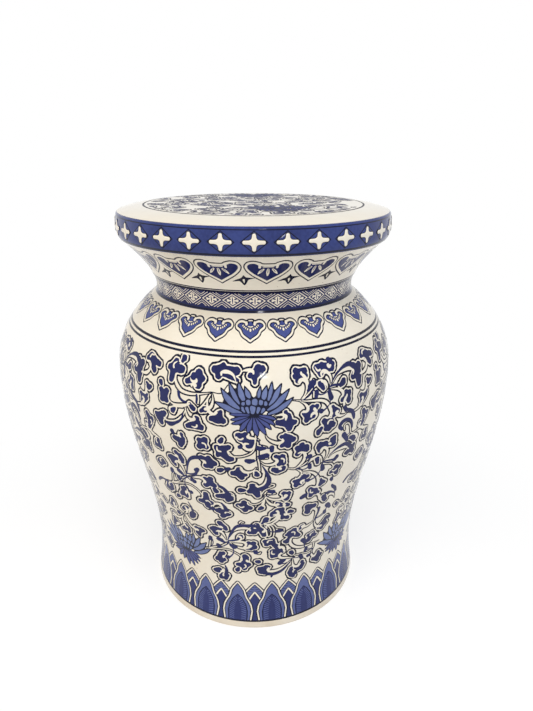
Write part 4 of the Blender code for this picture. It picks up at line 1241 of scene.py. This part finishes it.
LOW_PETALS = [
    [(-4, 0.3, 0.4), (-12, 0.6, 1), (-17, 0.6, 0.9), (-20.5, 0.8, 0.3)],
    [(-4, -0.9, 0.4), (-11, -2.6, 1.1), (-16, -4.2, 1), (-19.8, -4.8, 0.3)],
    [(-3.6, -1.7, 0.4), (-10, -5.2, 1.2), (-15, -7.8, 1.2), (-19, -8.8, 0.3)],
    [(-3.1, -2.3, 0.4), (-7.5, -7.5, 1.4), (-10, -12, 1.6), (-12, -15.5, 0.4)],
    [(-1.6, -2.6, 0.4), (-3.4, -8.5, 1.5), (-4.4, -13.5, 1.6), (-5.4, -17.1, 0.4)],
    [(0.2, -2.7, 0.4), (1, -9.5, 1.5), (2.2, -16, 1.9), (3.2, -20.5, 0.4)],
    [(1.9, -2.5, 0.4), (5.2, -8.8, 1.4), (8, -14, 1.7), (10.5, -18.8, 0.4)],
    [(3.2, -2, 0.4), (8.4, -6.6, 1.3), (12, -10, 1.5), (15.2, -13.8, 0.4)],
    [(4.2, -1.3, 0.4), (10.5, -4.4, 1.2), (15, -6.8, 1.3), (18.6, -9.6, 0.3)],
    [(5.2, -0.4, 0.4), (11.5, -1.6, 1.1), (16, -2.8, 1.1), (19.6, -4.4, 0.3)],
]
STEMS = [
    [(-23.5, 28), (-30, 20.2), (-39.5, 20.6), (-47.5, 18)],
    [(27.5, 14), (35.5, 12.6), (42.5, 12.2)],
    [(-15, 24.5), (-15.2, 33)],
]


def parted(sheet, shapes, gap):
    """Brush strokes side by side, with a gap wherever two of them meet."""
    fields = []
    for marks in shapes:
        fields.append(sheet.blank())
        sheet.stroke(fields[-1], marks)
    nearest, second = np.partition(fields, 1, axis=0)[:2]
    return overlap(nearest, gap - (second - nearest))


def lotus(sheet, turn, level):
    """The dark ground, pale petals and darker petals of one flower."""
    pale = parted(sheet, [sheet.placed(marks, turn, level) for marks in PALE_PETALS + SEEDS], PETAL_GAP)
    low = parted(sheet, [sheet.placed(marks, turn, level) for marks in LOW_PETALS], PETAL_GAP) - LOW_SWELL
    rim = [[((a[0] + 2 * b[0]) / 3, (a[1] + 2 * b[1]) / 3) for b, a in (petal[-2:] for petal in petals)]
           for petals in (PALE_PETALS, LOW_PETALS)]
    rim[0].insert(5, GROUND_DIP)
    dark = merged(*(sheet.shape(sheet.placed(web + GROUND_FOOT, turn, level)) for web in rim))
    for (x0, y0, _), (x1, y1, _) in (petal[-2:] for petal in PALE_PETALS + LOW_PETALS):
        reach = PETAL_POINT / math.hypot(x1 - x0, y1 - y0)
        tip = (x1 + (x1 - x0) * reach, y1 + (y1 - y0) * reach, 0.2)
        sheet.stroke(dark, sheet.placed([(x0, y0, 2.4), (x1, y1, 1.3), tip], turn, level))
    return merged(dark, pale - PALE_LINE, low - LOW_LINE), overlap(pale, LOW_CLEAR - low), low


flowers = lotus(scroll, *UPPER_LOTUS), lotus(scroll, *LOWER_LOTUS)
ground, pale, low = (merged(*pair) for pair in zip(*flowers))
stems = scroll.blank()
for marks in STEMS:
    scroll.stroke(stems, scroll.placed(marks, *UPPER_LOTUS), 0.5)
clear = -ground
buds = overlap(buds, clear)
painted("scroll_outline", scroll, merged(edge, ground, stems), DARK_LIFT, INK)
painted("scroll_margin", scroll, overlap(margin, clear, -buds), WHITE_LIFT, IVORY)
painted("scroll_leaves", scroll, merged(overlap(leaves, -curls, clear), buds), COLOUR_LIFT, LEAF_COBALT)
PETAL_BLUE = cobalt_glaze("petal_glaze", srgb(118, 132, 178), srgb(96, 109, 158))
LOW_PETAL_BLUE = cobalt_glaze("low_petal_glaze", srgb(80, 90, 150), srgb(64, 72, 130))
painted("lotus_petals", scroll, pale, COLOUR_LIFT, PETAL_BLUE)
painted("lotus_low_petals", scroll, low, COLOUR_LIFT, LOW_PETAL_BLUE)

# Cloud heads and two lines round the shoulder.
# 25 cloud heads in blue wash hang under the collar, each with a dark edge, a white border that curls
# in at the top and a row of white beads, over two lines drawn as the stool turned on the wheel.
CLOUD_REPEATS, CLOUD_START = 25, -1.8
CLOUD_OUTLINE = [(0, 368.5), (1.3, 368.2), (2.0, 367.4), (2.7, 367.9), (4.1, 368.3), (5.7, 367.5),
                 (6.9, 365.2), (7.1, 362.8), (6.5, 360.5), (5.3, 359.0), (4.8, 358.1), (4.3, 356.2),
                 (3.2, 354.1), (1.6, 352.2), (0, 350.3)]
CLOUD_CURL = [(3.6, 366.6, 0.95), (2.4, 366.4, 0.95), (1.9, 365.5, 1.0), (1.85, 364.6, 1.25)]
# the row of white beads, from the middle out
CLOUD_BEADS = [(0, 359.9, 0.95), (1.3, 360.6, 0.6), (2.15, 361.3, 0.55), (2.9, 362.2, 0.5),
               (3.5, 363.2, 0.45)]
CLOUD_LINE, CLOUD_BORDER, CLOUD_INNER_LINE = 1.05, 1.55, 0.8
SHOULDER_LINES = (344.2, 1.05), (340.2, 0.95)
cloud = Sheet(body_radius, 338.4, 371.4, CLOUD_REPEATS, CLOUD_START, 0.25)
edge = cloud.shape(both(CLOUD_OUTLINE), smooth=True)
rings = merged(*(cloud.band(level - half, level + half) for level, half in SHOULDER_LINES))
fill, white, opening = edge + CLOUD_LINE + CLOUD_BORDER + CLOUD_INNER_LINE, cloud.blank(), cloud.blank()
cloud.stroke(fill, [(0, 364.6, 1.6), (0, 363.4, 1.6)])
cloud.stroke(opening, [(0, 369.0), (0, 365.0)], 3.1)
for side in (-1, 1):
    cloud.stroke(white, [(side * turn, level, half) for turn, level, half in CLOUD_CURL])
cloud.stroke(white, [(-0.8, 367.0), (0.8, 367.0)], 0.45)
cloud.stroke(white, [(-1.0, 362.8), (0, 362.4), (1.0, 362.8)], 0.36)
for turn, level, size in CLOUD_BEADS:
    for side in (-1, 1):
        cloud.stroke(white, [(side * turn, level), (side * turn * 0.93, level + 0.5)], size)
painted("cloud_outline", cloud, merged(edge, rings), DARK_LIFT, INK)
border = overlap(edge + CLOUD_LINE, -edge - CLOUD_LINE - CLOUD_BORDER, -opening)
painted("cloud_margin", cloud, merged(border, overlap(white, edge + CLOUD_LINE)), WHITE_LIFT, IVORY)
CLOUD_BLUE = cobalt_glaze("cloud_glaze", srgb(76, 88, 152), srgb(58, 68, 130))
painted("cloud_fill", cloud, overlap(fill, 0.35 - white), COLOUR_LIFT, CLOUD_BLUE)

# Diamonds on the collar.
# 32 white-edged diamonds, each with a four-petalled flower, and parallel white chevrons in the
# triangles between them.
DIAMOND_REPEATS, DIAMOND_START = 32, 0.3
DIAMOND_MIDDLE, DIAMOND_TURN, DIAMOND_HALF = 383.4, 5.45, 6.7
collar_sheet = Sheet(collar_radius, 372.4, 393.1, DIAMOND_REPEATS, DIAMOND_START, 0.2)
diamond = collar_sheet.shape([(0, DIAMOND_MIDDLE + DIAMOND_HALF), (DIAMOND_TURN, DIAMOND_MIDDLE),
                              (0, DIAMOND_MIDDLE - DIAMOND_HALF), (-DIAMOND_TURN, DIAMOND_MIDDLE)])
lines, dark = collar_sheet.blank(), collar_sheet.blank()
corner = collar_sheet.period / 2
for peak in (1.9, 4.0):
    run = (DIAMOND_HALF + 0.4 - peak) / DIAMOND_HALF * DIAMOND_TURN
    for up in (-1, 1):
        foot_level = DIAMOND_MIDDLE + up * (DIAMOND_HALF + 0.4)
        top = (corner, DIAMOND_MIDDLE + up * peak)
        for end in (corner - run, corner + run):
            collar_sheet.stroke(lines, [top, (end, foot_level)], 0.27)
upright = [(0, DIAMOND_MIDDLE + up, half) for up, half in ((3.2, 0.3), (0, 0.6), (-3.2, 0.3))]
collar_sheet.stroke(dark, upright)
for side in (-1, 1):
    for up in (-1, 1):
        petal = [(side * 1.2, DIAMOND_MIDDLE + up * 1.3), (side * 1.9, DIAMOND_MIDDLE + up * 1.7)]
        collar_sheet.stroke(dark, petal, 0.65)
    collar_sheet.stroke(dark, [(side * 3.0, DIAMOND_MIDDLE), (side * 3.2, DIAMOND_MIDDLE)], 0.4)
collar_white = merged(lines, overlap(diamond, -diamond - 0.9), overlap(diamond + 1.9, -dark))
collar_lines = merged(collar_sheet.band(390.9, 393.0), collar_sheet.band(372.5, 374.2))
painted("collar_lines", collar_sheet, collar_lines, DARK_LIFT, INK)
painted("collar_pattern", collar_sheet, collar_white, DARK_LIFT, IVORY)

# Hearts and sprigs on the neck.
# 18 heart-shaped cloud heads hang under the rim with a little sprig between each pair, and a line
# runs round the neck's foot and one round its top.
HEART_REPEATS, HEART_START = 18, 5.5
HEART_LINE, HEART_BORDER = 1.1, 2.1
HEART_OUTLINE = [(0, 424.0), (2.2, 424.1), (3.2, 425.5), (5.7, 427.0), (8.2, 425.8), (9.5, 422.2),
                 (9.6, 418.5), (8.5, 414.0), (6.2, 409.4), (3.2, 405.3), (0.6, 402.0), (0, 401.2)]
SPRIG_OUTLINE = [(0, 411.2), (0.9, 408.9), (2.6, 408.3), (4.7, 407.9), (2.7, 406.7), (1.8, 405.6),
                 (1.2, 402.8), (0, 400.2), (-1.2, 403.0), (-2.0, 404.5), (-3.4, 404.4), (-5.2, 404.0),
                 (-3.2, 406.3), (-1.3, 408.0)]
hearts = Sheet(neck_radius, 393.5, 430.9, HEART_REPEATS, HEART_START, 0.3)
edge = hearts.shape(both(HEART_OUTLINE), smooth=True)
opposite = hearts.period / 2
sprig = hearts.shape([(opposite + turn, level) for turn, level in SPRIG_OUTLINE], smooth=True)
white, drop, veins = hearts.blank(), hearts.blank(), hearts.blank()
hearts.stroke(drop, [(opposite - 0.1, 405.9, 1.0), (opposite, 403.2, 0.45)])
hearts.stroke(white, [(-2.1, 420.1), (2.1, 420.1)], 0.45)
hearts.stroke(white, [(0, 417.2, 1.1), (0, 414.0, 1.5), (0, 411.0, 0.8)])
hearts.stroke(veins, [(0, 417.6), (0, 413.4)], 0.3)
for side in (-1, 1):
    hearts.stroke(white, [(side * 4.9, 424.4, 0.9), (side * 3.6, 422.6, 1.1), (side * 3.4, 419.6, 1.2)])
    hearts.stroke(white, [(side * 1.9, 417.4, 0.9), (side * 3.0, 415.0, 1.25), (side * 3.9, 412.8, 0.6)])
    hearts.stroke(veins, [(side * 2.1, 417.4), (side * 3.0, 414.7)], 0.27)
neck_lines = merged(hearts.band(393.6, 394.8), hearts.band(429.7, 430.8))
painted("heart_outline", hearts, merged(edge, sprig, neck_lines), DARK_LIFT, INK)
painted("heart_margin", hearts, merged(edge + HEART_LINE, drop), WHITE_LIFT, IVORY)
heart = edge + HEART_LINE + HEART_BORDER
painted("heart_fill", hearts, merged(overlap(heart, -white), overlap(veins, heart)), COLOUR_LIFT, LEAF_COBALT)

# Lappets round the foot.
# 20 pointed lappets stand on the foot line with the tips of a second row between them, in two
# strengths of cobalt brushed on the slip, combed with fine light lines.
LAPPET_REPEATS, LAPPET_START = 20, -9.7
LAPPET_EDGE, LAPPET_BORDER, LAPPET_LINE_TOP = 2.05, 0.8, 10.4
LAPPET_OUTLINE = [(6.4, 7.5), (6.8, 10.5), (7.6, 22), (7.0, 30), (6.0, 35), (4.7, 40), (4.0, 45), (3.5, 50),
                  (2.1, 55.5), (0.5, 60.4), (0, 61.6)]
OGIVE_OUTLINE = [(4.6, 7.5), (5.0, 14), (5.1, 22), (4.3, 31), (2.4, 39), (0, 44.5)]
BACK_OUTLINE = [(4.6, 7.5), (4.6, 48.5), (2.9, 53.5), (0.6, 59.4), (0, 60.4)]
INNER_OUTLINE = [(3.1, 7.5), (3.0, 38.0), (1.5, 43.6), (0.4, 47.2), (0, 48.0)]
lappets = Sheet(body_radius, 8.2, 63.4, LAPPET_REPEATS, LAPPET_START, 0.3)
opposite = lappets.period / 2
front, ogive = lappets.shape(both(LAPPET_OUTLINE)), lappets.shape(both(OGIVE_OUTLINE))
behind = lappets.shape([(opposite + turn, level) for turn, level in both(BACK_OUTLINE)])
inner = lappets.shape([(opposite + turn, level) for turn, level in both(INNER_OUTLINE)])
combing, back_combing = lappets.blank(), lappets.blank()
for side in (-1, 1):
    for i in range(13):
        low_end, lean = 9.0 + 2.4 * i, 1.8 + 0.12 * i
        start = np.interp(low_end, [8, 20, 30, 37], [1.9, 2.0, 1.6, 0.4])
        end = np.interp(low_end, [8, 22, 31, 38], [4.2, 4.3, 3.6, 1.5])
        lappets.stroke(combing, [(side * start, low_end, 0.4), (side * end, low_end + lean, 0.56)])
    for i in range(5):
        low_end = 43.5 + 3.2 * i
        start = np.interp(low_end, [40, 48, 52, 58], [2.9, 1.4, 0.4, 0.2])
        end = np.interp(low_end, [40, 49, 54, 60], [4.0, 3.4, 2.2, 0.6])
        line = [(opposite + side * start, low_end - 1.4), (opposite + side * end, low_end)]
        lappets.stroke(back_combing, line, 0.3)
uncovered = LAPPET_EDGE - front
foot_line = lappets.band(8.3, LAPPET_LINE_TOP)
above_line, above_chevron = (low - lappets.height[:, None] + 0 * front for low in (LAPPET_LINE_TOP, 37.5))
painted("lappet_outline", lappets, merged(-uncovered, behind - LAPPET_EDGE, foot_line), DARK_LIFT, INK)
cream = merged(np.abs(front) - LAPPET_BORDER, overlap(np.abs(behind) - LAPPET_BORDER, uncovered),
               overlap(np.abs(inner) - 0.9, uncovered, above_chevron))
painted("lappet_margin", lappets, overlap(cream, above_line), WHITE_LIFT, IVORY)
LAPPET_BLUE = cobalt_glaze("lappet_glaze", srgb(100, 112, 164), srgb(80, 91, 146))
pale = merged(overlap(front + 1.8, 0.5 - np.abs(ogive)),
              overlap(behind + 1.6, 1.5 - inner, uncovered, -back_combing))
painted("lappet_wash", lappets, overlap(pale, above_line), COLOUR_LIFT, LAPPET_BLUE)
deep = merged(overlap(ogive + 0.45, -combing), overlap(inner + 1.4, uncovered))
LAPPET_COBALT = cobalt_glaze("lappet_core_glaze", srgb(52, 61, 120), srgb(38, 46, 96))
painted("lappet_fill", lappets, overlap(deep, above_line), DETAIL_LIFT, LAPPET_COBALT)

# Crosses round the rim.
# 32 ivory crosses, sprigged on in relief, each on a raised cobalt diamond with a dark edge; the band
# is darker along its foot and edged with a dark line above.
CROSS_REPEATS, CROSS_LEVEL = 32, 443.7
CROSS_TURN, CROSS_REACH, CROSS_BAR = 3.2, 5.7, 1.6
# how far each rises, in millimetres, at each depth inside its outline
PLATE_RELIEF = ((0, 0.05), (0.9, 0.4), (9, 0.45))
CROSS_EDGE_LIFT, CROSS_EDGE_RELIEF = 0.4 * MM, ((0, 0.05), (0.4, 0.15), (9, 0.15))
CROSS_LIFT, CROSS_RELIEF = 0.45 * MM, ((0, 0.1), (0.4, 0.35), (1.1, 0.5), (9, 0.55))
DIAMOND_OUTLINE = [(0, CROSS_LEVEL + 9.0), (4.5, CROSS_LEVEL), (0, CROSS_LEVEL - 9.0), (-4.5, CROSS_LEVEL)]
rim_sheet = Sheet(rim_radius, 431.3, 454.6, CROSS_REPEATS, 0.0, 0.2)
plate = rim_sheet.shape(DIAMOND_OUTLINE)
cross = rim_sheet.blank()
cross_marks = [(0, CROSS_LEVEL, CROSS_BAR)]
for across, up in ((1, 0), (-1, 0), (0, 1), (0, -1)):
    cross_marks.append((across * CROSS_TURN, CROSS_LEVEL + up * CROSS_REACH, CROSS_BAR))
rim_sheet.leaf(cross, cross_marks, 1.0)
foot_band, edge_line = rim_sheet.band(431.3, 433.4), rim_sheet.band(453.5, 454.4)
plate_edge = overlap(plate - 0.6, -plate - 0.4)
painted("rim_lines", rim_sheet, merged(foot_band, edge_line, plate_edge), DARK_LIFT, INK)
painted("rim_diamonds", rim_sheet, plate + 0.3, DARK_LIFT, COBALT, 1.6, 0.03, PLATE_RELIEF)
painted("rim_cross_edges", rim_sheet, cross - 0.55, CROSS_EDGE_LIFT, INK, 1.6, 0.03, CROSS_EDGE_RELIEF)
painted("rim_crosses", rim_sheet, cross, CROSS_LIFT, IVORY, 1.2, 0.03, CROSS_RELIEF)

# Painted top of the seat.
# The same scroll with two dark lotuses, inside one cobalt ring; outside the ring the seat is plain
# ivory. It is drawn on a flat square, in millimetres across and away from the front.
SEAT_RING, SEAT_RING_HALF, SEAT_SCROLL_RADIUS = 115.0, 1.0, 111.0
SEAT_LOTUSES, SEAT_SCROLL_SHIFT = ((23.0, -62.0), (-1.0, 79.0)), 200.0
FLAT_RADIUS = 180 / math.pi * MM


def on_seat(x, y, lift):
    return np.stack([x * MM, y * MM, seat_height(np.hypot(x, y) * MM) + lift], -1)


seat_sheet = Sheet(lambda z: FLAT_RADIUS + 0 * z, -118, 118, 1.5, 0.0, 0.5, on_seat)
stretch = scroll.middle


def across_seat(marks):
    return [(m[0] * stretch, m[1] - SEAT_SCROLL_SHIFT, *m[2:]) for m in marks]


kinds = [[across_seat(marks) for marks in kind] for kind in (LEAVES, BRUSHES, HOOKS)]
leaves, buds, margin, edge, curls = foliage(seat_sheet, *kinds, across_seat(FORKS))
ground, pale, low = (merged(*pair) for pair in zip(*(lotus(seat_sheet, *spot) for spot in SEAT_LOTUSES)))
out = np.hypot(seat_sheet.turn[None, :], seat_sheet.height[:, None])
ring, inside = np.abs(out - SEAT_RING) - SEAT_RING_HALF, out - SEAT_SCROLL_RADIUS
clear = -ground
buds = overlap(buds, clear, inside)
# the glaze over the seat's painting is rubbed by use and mirrors less than the walls
SEAT_INK = cobalt_glaze("seat_ink_glaze", srgb(18, 22, 52), srgb(9, 12, 34), 0.12, 1.03)
SEAT_COBALT = cobalt_glaze("seat_leaf_glaze", srgb(38, 45, 100), srgb(24, 29, 74), 0.12, 1.03)
SEAT_PETAL_BLUE = cobalt_glaze("seat_petal_glaze", srgb(54, 63, 120), srgb(40, 47, 98), 0.12, 1.03)
painted("seat_outline", seat_sheet, merged(overlap(merged(edge, ground), inside), ring), DARK_LIFT, SEAT_INK)
painted("seat_margin", seat_sheet, overlap(margin, clear, inside, -buds), WHITE_LIFT, IVORY)
leaves = merged(overlap(leaves, -curls, clear, inside), buds)
painted("seat_leaves", seat_sheet, leaves, COLOUR_LIFT, SEAT_COBALT)
painted("seat_petals", seat_sheet, merged(pale, low), COLOUR_LIFT, SEAT_PETAL_BLUE)

# Studio.
# A pale paper floor that fades to white, area lamps and a white surround, and the camera where the
# photo was taken.
CAMERA_BACK, CAMERA_HEIGHT = 0.5932, 0.5198
CAMERA_DOWN, CAMERA_RIGHT, CAMERA_ROLL = 21.424, 1.280, -0.150
FOCAL_PIXELS, FRAME_HEIGHT = 540.0, 711
SENSOR = 36.0

camera_data = bpy.data.cameras.new("camera")
camera_data.sensor_fit = "VERTICAL"
camera_data.sensor_height = SENSOR
camera_data.lens = SENSOR * FOCAL_PIXELS / FRAME_HEIGHT
camera_data.clip_start = 0.01
camera = bpy.data.objects.new("camera", camera_data)
bpy.context.scene.collection.objects.link(camera)
camera.location = (0, -CAMERA_BACK, CAMERA_HEIGHT)
camera.rotation_mode = "XYZ"
camera.rotation_euler = [math.radians(a) for a in (90 - CAMERA_DOWN, CAMERA_ROLL, -CAMERA_RIGHT)]
bpy.context.scene.camera = camera


def seen(place):
    """1 for the rays that the camera, glossy things or clear things send, and 0 for light that bounces."""
    path = place.node("ShaderNodeLightPath")
    senders = "Camera", "Glossy", "Transmission"
    rays = [Shade(place.tree, path.outputs[f"Is {sender} Ray"]) for sender in senders]
    return place.maths("MINIMUM", rays[0] + rays[1] + rays[2], 1.0)


def paper_floor():
    """Matt paper that looks white, with the stool's shadow near it."""
    material, shader, place = new_material("floor_paper")
    tree = place.tree
    shader.inputs["Base Color"].default_value = (0.8, 0.8, 0.8, 1)
    shader.inputs["Roughness"].default_value = 0.9
    near = place.node("ShaderNodeBsdfPrincipled", None, Base_Color=(0.40, 0.40, 0.40, 1), Roughness=0.9,
                      Emission_Color=(1, 1, 1, 1), Emission_Strength=0.68, Specular_IOR_Level=0.0)
    far = place.node("ShaderNodeEmission", None, Color=(1, 1, 1, 1), Strength=1.0)
    distance = place.out("ShaderNodeVectorMath", {"operation": "LENGTH"}, 1, _0=place)
    fade = place.node("ShaderNodeMixShader", None, _0=distance.between(0.22, 0.55))
    tree.links.new(near.outputs[0], fade.inputs[1])
    tree.links.new(far.outputs[0], fade.inputs[2])
    whole = place.node("ShaderNodeMixShader", None, _0=seen(place))
    tree.links.new(shader.outputs[0], whole.inputs[1])
    tree.links.new(fade.outputs[0], whole.inputs[2])
    tree.links.new(whole.outputs[0], tree.nodes["Material Output"].inputs["Surface"])
    return material


select_nothing()
bpy.ops.mesh.primitive_plane_add(size=12.0, location=(0, 0, 0))
floor = bpy.context.object
floor.name = "floor"
floor.data.materials.append(paper_floor())

world = bpy.data.worlds.new("studio")
bpy.context.scene.world = world
world.use_nodes = True
sky = Shade(world.node_tree, None)
around = world.node_tree.nodes["Background"]
around.inputs["Color"].default_value = (0.94, 0.96, 1.0, 1)
around.inputs["Strength"].default_value = 0.38
backdrop = sky.node("ShaderNodeBackground", None, Color=(1, 1, 1, 1), Strength=1.0)
both_skies = sky.node("ShaderNodeMixShader", None, _0=seen(sky))
world.node_tree.links.new(around.outputs[0], both_skies.inputs[1])
world.node_tree.links.new(backdrop.outputs[0], both_skies.inputs[2])
world.node_tree.links.new(both_skies.outputs[0], world.node_tree.nodes["World Output"].inputs["Surface"])


def soft_box(name, place, aim, width, height, watts, colour, mirrored=True):
    """A lamp; one that isn't mirrored gives light without a highlight on the glaze."""
    light = bpy.data.lights.new(name, "AREA")
    light.shape = "RECTANGLE"
    light.size, light.size_y = width, height
    light.energy = watts
    light.color = colour
    lamp = bpy.data.objects.new(name, light)
    bpy.context.scene.collection.objects.link(lamp)
    lamp.location = place
    lamp.rotation_euler = (Vector(aim) - Vector(place)).to_track_quat("-Z", "Y").to_euler()
    lamp.visible_glossy = mirrored


soft_box("window", (0.35, -3.0, 1.45), (0, 0, 0.3), 0.28, 0.40, 10.0, (0.97, 0.98, 1.0))
soft_box("ceiling", (0.1, -1.1, 2.6), (0, 0, 0.35), 1.4, 1.0, 24.0, (1.0, 0.99, 0.97), False)
soft_box("left_lamp", (-1.9, -1.3, 1.3), (0, 0, 0.25), 1.2, 1.2, 19.0, (1.0, 0.90, 0.76), False)
soft_box("right_lamp", (1.9, -1.2, 1.2), (0, 0, 0.25), 1.2, 1.2, 10.0, (0.90, 0.94, 1.0), False)

bpy.context.scene.view_settings.view_transform = "Standard"
